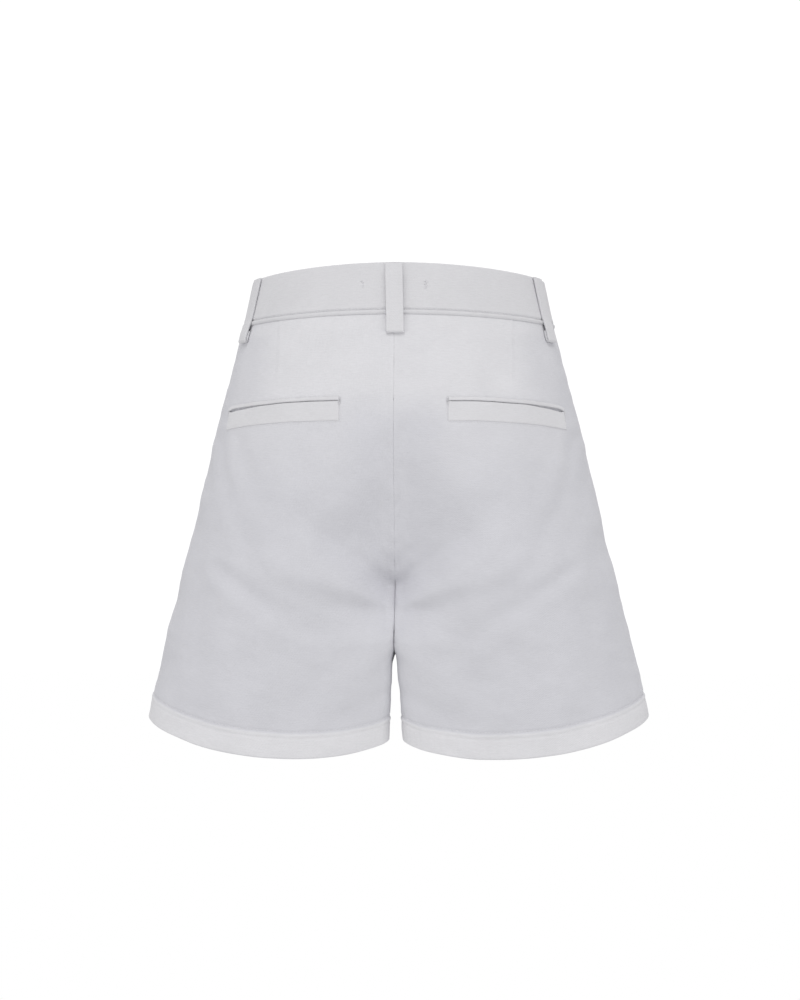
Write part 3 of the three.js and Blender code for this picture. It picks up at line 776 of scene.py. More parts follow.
def button_material(name):
    """Off-white resin with faint clouds and a satin face."""
    shader = Shader(name, Coat_Roughness=0.2, Specular_IOR_Level=0.5)
    place = shader.add("ShaderNodeTexCoord").outputs["Object"]
    cloud = shader.noise(place, 260.0, 3.0, 0.5)
    color = shader.mix(cloud.between(0.3, 0.7), rgba((0.70, 0.69, 0.65)), rgba((0.80, 0.79, 0.76)))
    shader.put(shader.surface.inputs["Base Color"], color)
    shader.put(shader.surface.inputs["Roughness"], 0.26 + cloud * 0.12)
    return shader.material


FINISHES = {
    # The panels' finish carries the painted shade of single-layer cloth.
    "denim_panels": (denim_material, {"single": True}),
    "denim_band": (denim_material, {"tone": 0.935}),
    "denim_trim": (denim_material, {"tone": 0.94, "weave": 0.8}),
    "thread_white": (thread_material, {"factor": 0.98}),
    "button_resin": (button_material, {}),
}


def material(name):
    """A finish by its name, made the first time that it is asked for."""
    if name in bpy.data.materials:
        return bpy.data.materials[name]
    make, settings = FINISHES[name]
    return make(name, **settings)


def slit_drop(t):
    """Drop of the middle of a pocket's slit at a share t of its length from its inner end."""
    arch = POCKET.arch * 4 * t * (1 - t)
    return POCKET.drop + POCKET.slit / 2 + POCKET.fall * t - arch


def slit_half(t):
    """Half the slit's opening, which gapes a little towards its outer end and closes at both ends."""
    gape = GAPE.inner + GAPE.more * smooth((t - GAPE.start) / GAPE.over)
    return POCKET.slit * gape * smooth(t / GAPE.inner_end) * smooth((1 - t) / GAPE.outer_end)


def panel_relief(part, hand, drop, run, start, end, point):
    """What sewing does to a panel's face: seam allowances that lift it, rolled edges, the hem's second
    layer with puckers along it, and the dart, pocket slit or fly stitching."""
    from_seam, from_side = run - start, end - run
    relief = creases(from_seam, CENTRE_CREASES) + creases(from_side, SIDE_CREASES)
    relief += ALLOWANCE.side * falls(from_side, ALLOWANCE.width, ALLOWANCE.edge)
    relief += ALLOWANCE.centre * falls(from_seam, ALLOWANCE.width, ALLOWANCE.edge)
    relief += creases(drop, WAIST_CREASES)
    above_edge = OUTSEAM - drop
    above_hem = above_edge - bpy.context.scene.shorts_cut.hem_depth
    in_hem = falls(above_hem, HEM_STEP.start, HEM_STEP.width)
    relief += HEM_STEP.height * in_hem + creases(above_hem, HEM_CREASES)
    pucker = np.sin(run * 2 * math.pi / 7.4 + 1.5 * np.sin(run / 23.0)) * np.sin(run / 5.1 + 2.0)
    relief += PUCKER.hem * pucker * in_hem * smooth(above_edge / PUCKER.edge)
    relief += PUCKER.waist * pucker * bump(drop - PUCKER.waist_drop, PUCKER.waist_width)
    if part == "back":
        off_dart = np.abs(point[..., 0]) - DART.out
        relief += creases(off_dart, DART_CREASES) * smooth((DART.length - drop) / DART.fade)
        t = (run - POCKET.run) / POCKET.width
        along = np.clip(t, 0, 1)
        middle, half = slit_drop(along), slit_half(along)
        slit = POCKET.deep * falls(np.abs(drop - middle), half, POCKET.wall)
        above_lip = middle - POCKET.lip - half - drop
        relief += np.where((t > 0) & (t < 1), creases(above_lip, LIP_CREASES) - slit, 0.0)
    elif hand > 0:
        relief += creases(fly_stitch_distance(drop, run), FLY_CREASES)
    return relief


def fly_stitch_distance(drop, run):
    """Distance from the fly's stitching: a straight line that turns in a quarter ring to the edge."""
    turn = FLY_STITCH.turn
    straight = np.abs(run - FLY_STITCH.width)
    centre_run, centre_drop = FLY_STITCH.width - turn, FLY_STITCH.bottom - turn
    round_off = np.abs(np.hypot(run - centre_run, drop - centre_drop) - turn)
    curved = np.where(run > centre_run - 2, round_off, 99.0)
    return np.where(drop < centre_drop, straight, curved)


def panel_backing(part, drop, run, start, end):
    """Where a second layer lies behind a panel: the hem, the seam allowances, the pocket bag or the fly's
    facing, and over the upper centre back a layer whose lightening is partly painted light from above. White
    cloth shows less of the dark inside there; elsewhere that inside is painted shade."""
    layer_shares_and_painted_light = [
        smooth((drop - OUTSEAM + bpy.context.scene.shorts_cut.hem_depth) / 1.6),
        BACKING_AND_PAINTED_LIGHT.waist * falls(drop, 8, 5),
        BACKING_AND_PAINTED_LIGHT.centre * falls(run - start, 9, 4),
        BACKING_AND_PAINTED_LIGHT.side * falls(end - run, 9, 4),
    ]
    if part == "back":
        pocket_end = POCKET.run + POCKET.width
        over_pocket = smooth((run - POCKET.run + 20) / 24) * smooth((pocket_end + 8 - run) / 24)
        layer_shares_and_painted_light.append(BACKING_AND_PAINTED_LIGHT.pocket * over_pocket * falls(drop, 84, 60))
        # Painted light: the upper centre back is made lighter, partly for a layer behind it and partly for
        # the light from above.
        layer_shares_and_painted_light.append(BACKING_AND_PAINTED_LIGHT.yoke_and_painted_light * falls(drop, 50, 38) * falls(run, 90, 50))
    else:
        layer_shares_and_painted_light.append(BACKING_AND_PAINTED_LIGHT.fly * falls(run, FLY_STITCH.width, 7) * falls(drop, FLY_LENGTH - 4, 10))
    clear = 1.0
    for layer in layer_shares_and_painted_light:
        clear = clear * (1 - layer)
    return 1 - clear


def panel_drops():
    """Drops of a panel's rows: even steps down to each stop, close together at the waist seam, the
    pocket, the crotch and the hem."""
    hem = OUTSEAM - bpy.context.scene.shorts_cut.hem_depth
    hem_start, hem_end, edge = hem - 4, hem + 6, OUTSEAM - 1.2
    stops = ((60, 34), (88, 34), (236, 62), (262, 20), (hem_start, 26), (hem_end, 18), (edge, 9))
    rows = [[0, 0.06, 0.5, 1.0]]
    start = 0
    for stop, count in stops:
        rows.append(np.linspace(start, stop, count)[1:])
        start = stop
    rows.append(OUTSEAM - np.array([0.7, 0.3, 0.08, 0.0]))
    return np.concatenate(rows)


def make_panel(part, hand):
    """A front or back panel. Its columns run straight down the side, and close up by the centre."""
    side = SIDES[part]
    drop = panel_drops()[:, None]
    lapped = part == "front" and hand > 0
    start = np.where(drop >= CROTCH_DROP, EDGE_GAP, -lap_reach(drop) if lapped else 0.0)
    end = side.length(drop) - EDGE_GAP
    width = end - start
    at_waist, at_crotch = side.length(0.0), side.length(CROTCH_DROP)
    even = np.where(drop < CROTCH_DROP, at_waist + (at_crotch - at_waist) * drop / CROTCH_DROP, width)
    near = (0.0, 0.0003, 0.0025, 0.006, 0.012, 0.02)
    t = 1 - uneven(0.0, 1.0, 132, near, near)[None, :]
    run = end - (even * t - (even - width) * t**3)
    drop = np.broadcast_to(drop, run.shape)
    middle, _ = cloth(part, hand, drop, run)
    relief = panel_relief(part, hand, drop, run, start, end, middle)
    from_edge = OUTSEAM - drop
    rounded = HEM_WALL / 2 * (1 - quarter_round(from_edge, HEM_ROUND))
    outer, _ = cloth(part, hand, drop, run, relief * smooth(from_edge / HEM_ROUND) - rounded)
    thick = WALL + (HEM_WALL - WALL) * smooth((OUTSEAM - HEM_DEPTH - drop + 0.6) / -0.8)
    depth = np.maximum(thick, LEAST_WALL - relief) - rounded
    inner, _ = cloth(part, hand, drop, run, -depth)
    flat = np.stack([(run - end) * hand, drop], -1)
    backing = np.tile(panel_backing(part, drop, run, start, end).ravel(), 2)
    name = f"{part}_{HANDS[hand]}"
    look = material("denim_panels")
    piece = shell(f"{name}_panel", outer, inner, flat, look, replaces=name, backing=backing)


def band_points(hand, drop, around, out):
    """Points of the waistband: around is the distance from the centre back at that level. Past the
    centre front the left half lies over the right one, which is tucked in below it."""
    back, front = SIDES["back"].length(drop), SIDES["front"].length(drop)
    behind, _ = cloth("back", hand, drop, np.minimum(around, back), out)
    left = back + front - around
    if hand < 0:
        below_lap = BAND_WALL + SEAM_GAP - LAP_RISE
        out = out - below_lap * falls(left, UNDERLAP_START - UNDERLAP_SLOPE, UNDERLAP_SLOPE)
        out = out - LAP_RISE * smooth((4 - left - LAP_WIDTH) / LAP_SLOPE)
    before, _ = cloth("front", hand, drop, np.minimum(left, front), out)
    return np.where((around <= back)[..., None], behind, before)


def band_outline():
    """The waistband's section as drops and heights out: a rolled lower edge with a stitched groove
    above it, a flat face and a folded top edge."""
    top, outer, inner = -BAND_HEIGHT, BAND_PROUD, BAND_PROUD - BAND_WALL
    face_drop = np.concatenate([np.linspace(-1.0, -8.0, 22), np.linspace(-8.0, top + 3.0, 12)[1:]])
    face = np.stack([face_drop, outer + creases(-face_drop, BAND_CREASES)], -1)
    turn = np.linspace(0, math.pi, 9)
    middle, radius = (outer + inner) / 2, BAND_WALL / 2
    flatter = radius * 0.8
    fold = np.stack([top + flatter - flatter * np.sin(turn), middle + radius * np.cos(turn)], -1)
    lower = np.array([(-0.06, outer - 0.75), (-0.12, outer - 0.45), (-0.4, outer - 0.05)])
    back_drop = np.linspace(top + 4.0, -0.3, len(face) + len(lower) - len(fold) + 9)
    back = np.stack([back_drop, np.full(len(back_drop), inner)], -1)
    outline = np.concatenate([lower, face, fold, back])
    return outline if len(outline) % 2 == 0 else outline[:-1]


def make_band(hand):
    """Half of the waistband, with soft waves along its face, fine puckers by its stitching and
    rolled ends."""
    outline = band_outline()
    back = SIDES["back"].length(outline[:, 0])
    front = SIDES["front"].length(outline[:, 0])
    total = back + front + (FLY_LAP if hand > 0 else UNDERLAP)
    near_end = (0.0, 0.0008, 0.002, 0.004)
    share = uneven(0.0, 1.0, 230, near_end, near_end)[:, None]
    around = total[None, :] * share
    drop = np.broadcast_to(outline[None, :, 0], around.shape)
    out = np.broadcast_to(outline[None, :, 1], around.shape)
    face = smooth((out - (BAND_PROUD - 1.0)) / 1.0)
    ends = np.minimum(around, total[None, :] - around)
    rolled = -0.5 * bump(ends, 0.6) * face
    wave = 0.16 * np.sin(around / 17.0 + 0.4) * np.sin(drop / 9.0 + around / 61.0)
    pucker = 0.08 * np.sin(around * 2 * math.pi / 6.2 + np.sin(around / 19.0)) * bump(drop + 4.0, 4.0)
    points = band_points(hand, drop, around, out + face * (wave + pucker) + rolled)
    flat = np.stack([around * hand, drop], -1)
    name = f"waistband_{HANDS[hand]}"
    piece = bar(name + "_cloth", points, flat, material("denim_band"), replaces=name)


def ribbon_outline(path, thickness):
    """Outline of a folded strap: its path moved out by half its thickness on both sides, with
    rounded ends. path has a row for each point."""
    slope = unit(np.gradient(path, axis=0))
    across = np.stack([-slope[:, 1], slope[:, 0]], -1) * thickness / 2
    turn = np.linspace(0, math.pi, 6)[1:-1, None]
    tip = path[-1] + across[-1] * np.cos(turn) + slope[-1] * np.sin(turn) * thickness / 2
    root = path[0] - across[0] * np.cos(turn) - slope[0] * np.sin(turn) * thickness / 2
    return np.concatenate([path + across, tip, (path - across)[::-1], root])


def strap_path(slack):
    """Side view of a belt loop, as distances down from its top and heights above the band: down with
    some slack, round its lower fold, and back up below itself."""
    length = LOOP.bottom - LOOP.top
    half = LOOP.thick / 2
    under = half - BAND_PROUD
    over = under + LOOP.thick + 0.1
    down = np.linspace(half, length - half - 0.9, 44)
    bow = smooth((down - 4) / 9) * smooth((length - 9 - down) / 12)
    settle = half + (over - half) * smooth((down - (length - 22)) / 12)
    falling = np.stack([down, settle + slack * bow], -1)
    turn = np.linspace(0, math.pi, 9)[1:-1]
    radius = (over - under) / 2
    middle = (over + under) / 2
    fold = np.stack([down[-1] + radius * 0.9 * np.sin(turn), middle + radius * np.cos(turn)], -1)
    back = np.linspace(down[-1], length - LOOP.fold, 10)
    rising = np.stack([back, np.full(10, under)], -1)
    return np.concatenate([falling, fold, rising])


def make_loop(name, part, hand, share, slack, lean):
    """A belt loop: a strap of the same section all across, thinner at its two long edges."""
    edge = np.array([0.0, 0.12, 0.4, 0.9, 1.6, 2.4, 3.6, 5.4])
    offsets = np.concatenate([edge, LOOP.width - edge[::-1]]) - LOOP.width / 2
    from_edge = LOOP.width / 2 - np.abs(offsets)
    thin = LOOP.edge + (1 - LOOP.edge) * quarter_round(from_edge, LOOP.rounding)
    thin = thin - 0.1 * bump(from_edge - 2.4, 0.6)
    path = strap_path(slack)
    outlines = np.stack([ribbon_outline(path, LOOP.thick * factor) for factor in thin])
    down, up = outlines[..., 0], outlines[..., 1]
    drop = LOOP.top + down
    tilt = lean * (1 - 2 * down / (LOOP.bottom - LOOP.top))
    run = share * SIDES[part].length(drop) + offsets[:, None] + tilt
    points, _ = cloth(part, hand, drop, run, BAND_PROUD + SEAM_GAP + up)
    middle = outlines[len(offsets) // 2]
    around = np.concatenate([[0], np.cumsum(np.linalg.norm(np.diff(middle, axis=0), axis=1))])
    flat = np.stack([np.broadcast_to(offsets[:, None], down.shape), np.broadcast_to(around, down.shape)], -1)
    piece = bar(f"{name}_strap", points, flat, material("denim_trim"), replaces=name)


def lip_edges(t):
    """Drops of the lip's upper and lower edge at a share t of the pocket's length."""
    lower = slit_drop(t) - slit_half(t)
    return lower - POCKET.lip, lower - PATCH_GAP


def welt_edges(t):
    """Drops of the welt's upper and lower edge at a share t of the pocket's length."""
    return slit_drop(t) + slit_half(t) + PATCH_GAP, slit_drop(t) + POCKET.slit / 2 + POCKET.welt


def make_patch(name, hand, edges, height, rows, near_edge):
    """A strip on a back panel between its two edges, raised by height with rounded edges."""
    near_end = (0.0, 0.002, 0.006, 0.012)
    t = uneven(0.0, 1.0, 90, near_end, near_end)[None, :]
    s = uneven(0.0, 1.0, rows, near_edge, near_edge)[:, None]
    top, bottom = edges(t)
    drop = top + (bottom - top) * s
    run = np.broadcast_to(POCKET.run + POCKET.width * t, drop.shape)
    inset = np.minimum(drop - top, bottom - drop)
    ends = np.minimum(run - POCKET.run, POCKET.run + POCKET.width - run)
    dome = quarter_round(np.minimum(inset, ends), 1.1)
    outer, _ = cloth("back", hand, drop, run, BASE_LIFT + (height - BASE_LIFT) * dome)
    inner, _ = cloth("back", hand, drop, run, BACK_LIFT)
    flat = np.stack([run * hand, drop + PATCH_FLAT_SHIFT], -1)
    name = f"{name}_{HANDS[hand]}"
    return shell(f"{name}_cloth", outer, inner, flat, material("denim_trim"), replaces=name)


def resample(points, normals, pitch):
    """Even steps along a line of points: centres, directions and outward directions of stitches."""
    steps = np.linalg.norm(np.diff(points, axis=0), axis=1)
    arc = np.concatenate([[0], np.cumsum(steps)])
    count = max(1, int(arc[-1] / pitch))
    at = (np.arange(count) + 0.5) * arc[-1] / count

    def follow(rows, place):
        return np.stack([np.interp(place, arc, column) for column in rows.T], -1)

    along = unit(follow(points, at + 0.5) - follow(points, at - 0.5))
    out = follow(normals, at)
    out = unit(out - along * np.sum(out * along, axis=1, keepdims=True))
    return follow(points, at), along, out


def stitch_grid():
    """One stitch of length 1 and thickness 1: rings along it, thin at both ends, that dip inwards."""
    along = np.array([-0.5, -0.36, 0.0, 0.36, 0.5])
    radius = np.array([0.12, 0.42, 0.5, 0.42, 0.12])
    dip = np.array([-0.7, -0.18, 0.0, -0.18, -0.7])
    turn = np.linspace(0, 2 * math.pi, 6, endpoint=False)
    sideways = radius[:, None] * np.cos(turn)
    upwards = radius[:, None] * np.sin(turn) * 0.8 + dip[:, None]
    lengthwise = np.broadcast_to(along[:, None], sideways.shape)
    return np.stack([lengthwise, sideways, upwards], -1)


def sew(name, lines, length, width, lift=0.1, cover=0.8):
    """Joins one stitch for each step of the lines into a mesh. A line is its points and normals. lift
    is how high the stitches lie over it, and cover which share of a step each one fills."""
    grid = stitch_grid()
    rings, count = grid.shape[:2]
    number = np.arange(rings * count).reshape(rings, count)
    near_cap = number[0][np.array([(3, 2, 1, 0), (5, 4, 3, 0)])]
    far_cap = number[-1][np.array([(0, 1, 2, 3), (0, 3, 4, 5)])]
    single = np.concatenate([tube_quads(number), near_cap, far_cap])
    local = grid.reshape(-1, 3) * np.array([length * cover, width, width])
    points = []
    for line, normals in lines:
        centre, along, out = resample(line, normals, length)
        across = np.cross(out, along)
        axes = np.stack([along, across, out], 1)
        points.append(centre[:, None] + out[:, None] * lift + np.einsum("vk,nkd->nvd", local, axes))
    points = np.concatenate(points)
    shift = np.arange(len(points))[:, None, None] * len(local)
    faces = (single[None] + shift).reshape(-1, 4)
    flat = np.zeros((points.shape[0] * points.shape[1], 2))
    return make_piece(name, points.reshape(-1, 3), faces, flat, material("thread_white"))


def level_line(part, hand, drop, out, start=1.0, end=1.0):
    """A line along one level of a panel, from the centre seam to the side seam."""
    total = float(SIDES[part].length(drop))
    return cloth(part, hand, drop, np.linspace(start, total - end, 160), out)


def sew_hems():
    """One row round each hem, in the groove above its folded edge."""
    drop = OUTSEAM - bpy.context.scene.shorts_cut.hem_depth - 0.9
    lines = [level_line(part, hand, drop, -0.3) for part in SIDES for hand in HANDS]
    sew("hem_stitching", lines, bpy.context.scene.shorts_cut.stitch, width=0.5)


def sew_band():
    """One row along the groove of the waistband's lower edge."""
    lines = []
    for hand in HANDS:
        for part in SIDES:
            line, normals = level_line(part, hand, -4.1, 0.0, 2.0, 0.0)
            lines.append((line + normals * (BAND_PROUD - 0.35), normals))
    sew("waistband_stitching", lines, bpy.context.scene.shorts_cut.stitch, width=0.48)


def sew_pockets():
    """A row below each welt and one down each end of a pocket."""
    t = np.linspace(0.012, 0.988, 90)
    run = POCKET.run + POCKET.width * t
    depth = POCKET.slit / 2 + POCKET.welt + 1.0
    lines = []
    for hand in HANDS:
        lines.append(cloth("back", hand, slit_drop(t) + depth, run, 0.02))
        for end in (0.0, 1.0):
            drop = slit_drop(end) + np.linspace(-3.0, depth, 20)
            beyond = POCKET.run + POCKET.width * end + (1.0 if end else -1.0)
            lines.append(cloth("back", hand, drop, beyond, 0.02))
    sew("pocket_stitching", lines, length=2.4, width=0.42)


def sew_fly():
    """Two rows that run down the fly and turn to its edge in a quarter ring, and one down its edge."""
    turn = np.linspace(0, math.pi / 2, 24)
    radius = FLY_STITCH.turn
    lines = []
    for inset in (0.0, 5.0):
        width = FLY_STITCH.width - inset
        bottom = FLY_STITCH.bottom - inset
        ring_run = FLY_STITCH.width - radius + (radius - inset) * np.cos(turn)
        ring_drop = FLY_STITCH.bottom - radius + (radius - inset) * np.sin(turn)
        straight = np.linspace(2.0, FLY_STITCH.bottom - radius, 60)
        tail = np.linspace(FLY_STITCH.width - radius, 1.0, 6)[1:]
        drop = np.concatenate([straight, ring_drop, np.full(5, bottom)])
        run = np.concatenate([np.full(60, width), ring_run, tail])
        lines.append(cloth("front", 1, drop, run, 0.05))
    edge = np.linspace(2.0, FLY_LENGTH - 44, 60)
    lines.append(cloth("front", 1, edge, 1.6 - lap_reach(edge), 0.05))
    sew("fly_stitching", lines, bpy.context.scene.shorts_cut.stitch, width=0.48)


def sew_bartacks():
    """Close zigzags across the ends of the pockets and near the foot of the fly."""
    lines = []

    def tack(part, hand, drop, run, height, out):
        steps = np.arange(TACK.stitches)
        zigzag = run + np.where(steps % 2 == 0, -TACK.half_width, TACK.half_width)
        drops = drop + height * (steps / (TACK.stitches - 1) - 0.5)
        lines.append(cloth(part, hand, drops, zigzag, out))

    for hand in HANDS:
        for end in (0.0, 1.0):
            place = POCKET.run + POCKET.width * end
            tack("back", hand, float(slit_drop(end)), place, height=6.0, out=0.9)
    tack("front", 1, FLY_LENGTH - 22.0, 4.0, height=9.0, out=0.15)
    sew("bartacks", lines, length=1.5, width=0.4, cover=0.95)


def sew_label_tacks():
    """A little group of stitches on each side of the centre back, which hold a strip inside: a short
    upright, with one small bar across it on the left and three on the right."""
    lines = []
    out = BAND_PROUD + 0.05
    for hand, bars in ((1, (-2.6,)), (-1, (-2.6, 0.0, 2.6))):
        upright = LABEL_TACK.drop + np.linspace(-0.5, 0.5, 8) * LABEL_TACK.tall
        lines.append(cloth("back", hand, upright, LABEL_TACK.out, out))
        for bar_drop in bars:
            across = LABEL_TACK.out + np.linspace(0.0, LABEL_TACK.wide, 5) * hand
            lines.append(cloth("back", hand, LABEL_TACK.drop + bar_drop, across, out))
    sew("label_tacks", lines, length=LABEL_TACK.wide, width=0.75, lift=0.25, cover=0.9)


def make_shield():
    """The strip behind the fly opening, whose lower corners are cut round."""
    drop = np.linspace(SHIELD.top, SHIELD.bottom, 70)[:, None]
    near_edge = (0.0, 0.012, 0.03)
    t = uneven(0.0, 1.0, 24, near_edge, near_edge)[None, :]
    narrow = SHIELD.narrow * smooth((drop - (SHIELD.bottom - SHIELD.rounding)) / SHIELD.rounding)
    run = SHIELD.start + (SHIELD.end - narrow - SHIELD.start) * t
    drop = np.broadcast_to(drop, run.shape)
    base = -WALL - SEAM_GAP - lap_rise("front", 1, drop, run)
    outer, _ = cloth("front", 1, drop, run, base)
    inner, _ = cloth("front", 1, drop, run, base - SHIELD.wall)
    flat = np.stack([run, drop + SHIELD_FLAT_SHIFT], -1)
    piece = shell("fly_shield_cloth", outer, inner, flat, material("denim_trim"), replaces="fly_shield")


# Radius of a profile's ends, which all but touch the axis.
AXIS = 0.01


def lathe(profile, turns):
    """A mesh from a profile of radii and heights turned round Z, both ends at the axis."""
    angle = np.linspace(0, 2 * math.pi, turns, endpoint=False)
    radius, height = profile[:, :1], np.repeat(profile[:, 1:], turns, axis=1)
    points = np.stack([radius * np.cos(angle), radius * np.sin(angle), height], -1)
    number = np.arange(len(profile) * turns).reshape(len(profile), turns)
    return points.reshape(-1, 3), tube_quads(number)


def make_button():
    """The four-hole button: a turned disc with a rounded rim and a dished face, then drilled."""
    turn = np.linspace(-math.pi / 2, math.pi / 2, 12)
    middle, half = BUTTON.height / 2, BUTTON.height / 2
    rim = np.stack([BUTTON.radius + BUTTON.rim * (np.cos(turn) - 1), middle + half * np.sin(turn)], -1)
    bead = np.linspace(BUTTON.radius - BUTTON.bead, BUTTON.radius - 3.4, 8)
    slope = smooth((BUTTON.radius - BUTTON.bead - bead) / 1.8)
    dish = np.stack([bead, BUTTON.height - BUTTON.dish * slope], -1)
    low = BUTTON.height - BUTTON.dish - 0.05
    floor = np.array([(1.0, low), (AXIS, low)])
    profile = np.concatenate([[(AXIS, 0.0), (BUTTON.radius - 2.0, 0.0)], rim, dish, floor])
    points, faces = lathe(profile, 72)
    height = BAND_PROUD + SEAM_GAP + BUTTON.lift
    seats, outs = cloth("front", 1, np.array([BUTTON.drop]), BUTTON.run, height)
    seat, out = seats[0], unit(outs[0])
    across = unit(np.cross([0.0, 0.0, 1.0], out))
    axes = np.stack([across, np.cross(out, across), out])
    resin = material("button_resin")
    piece = make_piece("button_disc", points @ axes + seat, faces, points[:, :2], resin, "button", "button")
    drills = []
    for x, y in ((-1, -1), (-1, 1), (1, -1), (1, 1)):
        place = np.array([x, y, 0.0]) * BUTTON.spacing / 2
        hole = np.array([(AXIS, -2.0), (BUTTON.hole, -2.0), (BUTTON.hole, 6.0), (AXIS, 6.0)])
        drill_points, drill_faces = lathe(hole, 20)
        mesh = bpy.data.meshes.new("drill")
        mesh.from_pydata(((drill_points + place) @ axes + seat) * MM, [], drill_faces.tolist())
        drills.append(bpy.data.objects.new("drill", mesh))
        bpy.context.collection.objects.link(drills[-1])
        cut = piece.modifiers.new("drill", "BOOLEAN")
        cut.operation = "DIFFERENCE"
        cut.solver = "EXACT"
        cut.object = drills[-1]
    graph = bpy.context.evaluated_depsgraph_get()
    drilled = bpy.data.meshes.new_from_object(piece.evaluated_get(graph))
    piece.modifiers.clear()
    piece.data = drilled
    for drill in drills:
        bpy.data.objects.remove(drill)
    half = BUTTON.spacing / 2
    length = np.linspace(-half - 0.3, half + 0.3, 12)
    bars = []
    for x in (-half, half):
        line = np.stack([np.full(12, x), length, np.full(12, BUTTON.height - 0.7)], -1)
        bars.append((line @ axes + seat, np.broadcast_to(out, line.shape).copy()))
    sew("button_thread", bars, BUTTON.spacing + 0.6, 0.9, lift=0.0, cover=1.0)


class ShortsCutSettings(bpy.types.PropertyGroup):
    """Sizes of the making that a user would change. Lengths here are millimetres."""

    folds: bpy.props.FloatProperty(
        name="Folds", description="Share of the folds' real depth", default=1.0, min=0, max=1.5
    )
    hem_depth: bpy.props.FloatProperty(
        name="Hem", description="Depth of the hem's stitching above the edge, in millimetres", default=19.5
    )
    stitch: bpy.props.FloatProperty(
        name="Stitch", description="Length of one stitch, in millimetres", default=2.9, min=1.5, max=6
    )


class ShortsClothSettings(bpy.types.PropertyGroup):
    """Look of the denim."""

    color: bpy.props.FloatVectorProperty(
        name="Denim",
        description="Colour of the bleached cotton",
        subtype="COLOR",
        default=(0.738, 0.733, 0.756),
        min=0,
        max=1,
    )
    # Painted shade: the tint of single-layer cloth, darker and bluer, partly for its thinness and partly for
    # the shaded inside behind it.
    single_layer_painted_shade: bpy.props.FloatVectorProperty(
        name="Single layer",
        description="Tint where no second layer lies behind the cloth",
        subtype="COLOR",
        default=(0.872, 0.876, 0.898),
        min=0,
        max=1,
    )
    slub: bpy.props.FloatProperty(
        name="Slub", description="Colour change by uneven yarns", subtype="FACTOR", default=0.05, min=0, max=1
    )
    weave: bpy.props.FloatProperty(
        name="Weave", description="Strength of the relief", subtype="FACTOR", default=0.85, min=0, max=1
    )
    twill_pitch: bpy.props.FloatProperty(
        name="Twill", description="Millimetres between diagonal ribs", default=1.05, min=0.4, max=3
    )
    sheen: bpy.props.FloatProperty(
        name="Nap", description="Sheen of the napped fibres", subtype="FACTOR", default=0.12, min=0, max=1
    )


class ShortsStageSettings(bpy.types.PropertyGroup):
    """Where the camera stands and how bright the studio is."""

    distance: bpy.props.FloatProperty(
        name="Distance", description="From the camera to the waist", subtype="DISTANCE", default=1.8
    )
    height: bpy.props.FloatProperty(
        name="Height", description="Height of the camera", subtype="DISTANCE", default=-0.165
    )
    azimuth: bpy.props.FloatProperty(
        name="Turn",
        description="Turn of the camera round the shorts",
        subtype="ANGLE",
        default=math.radians(181.95),
    )
    power: bpy.props.FloatProperty(
        name="Lamps", description="Power that the lamps share", subtype="POWER", default=12.0
    )
    sky: bpy.props.FloatProperty(
        name="Studio", description="Brightness of the white surroundings", default=0.65
    )


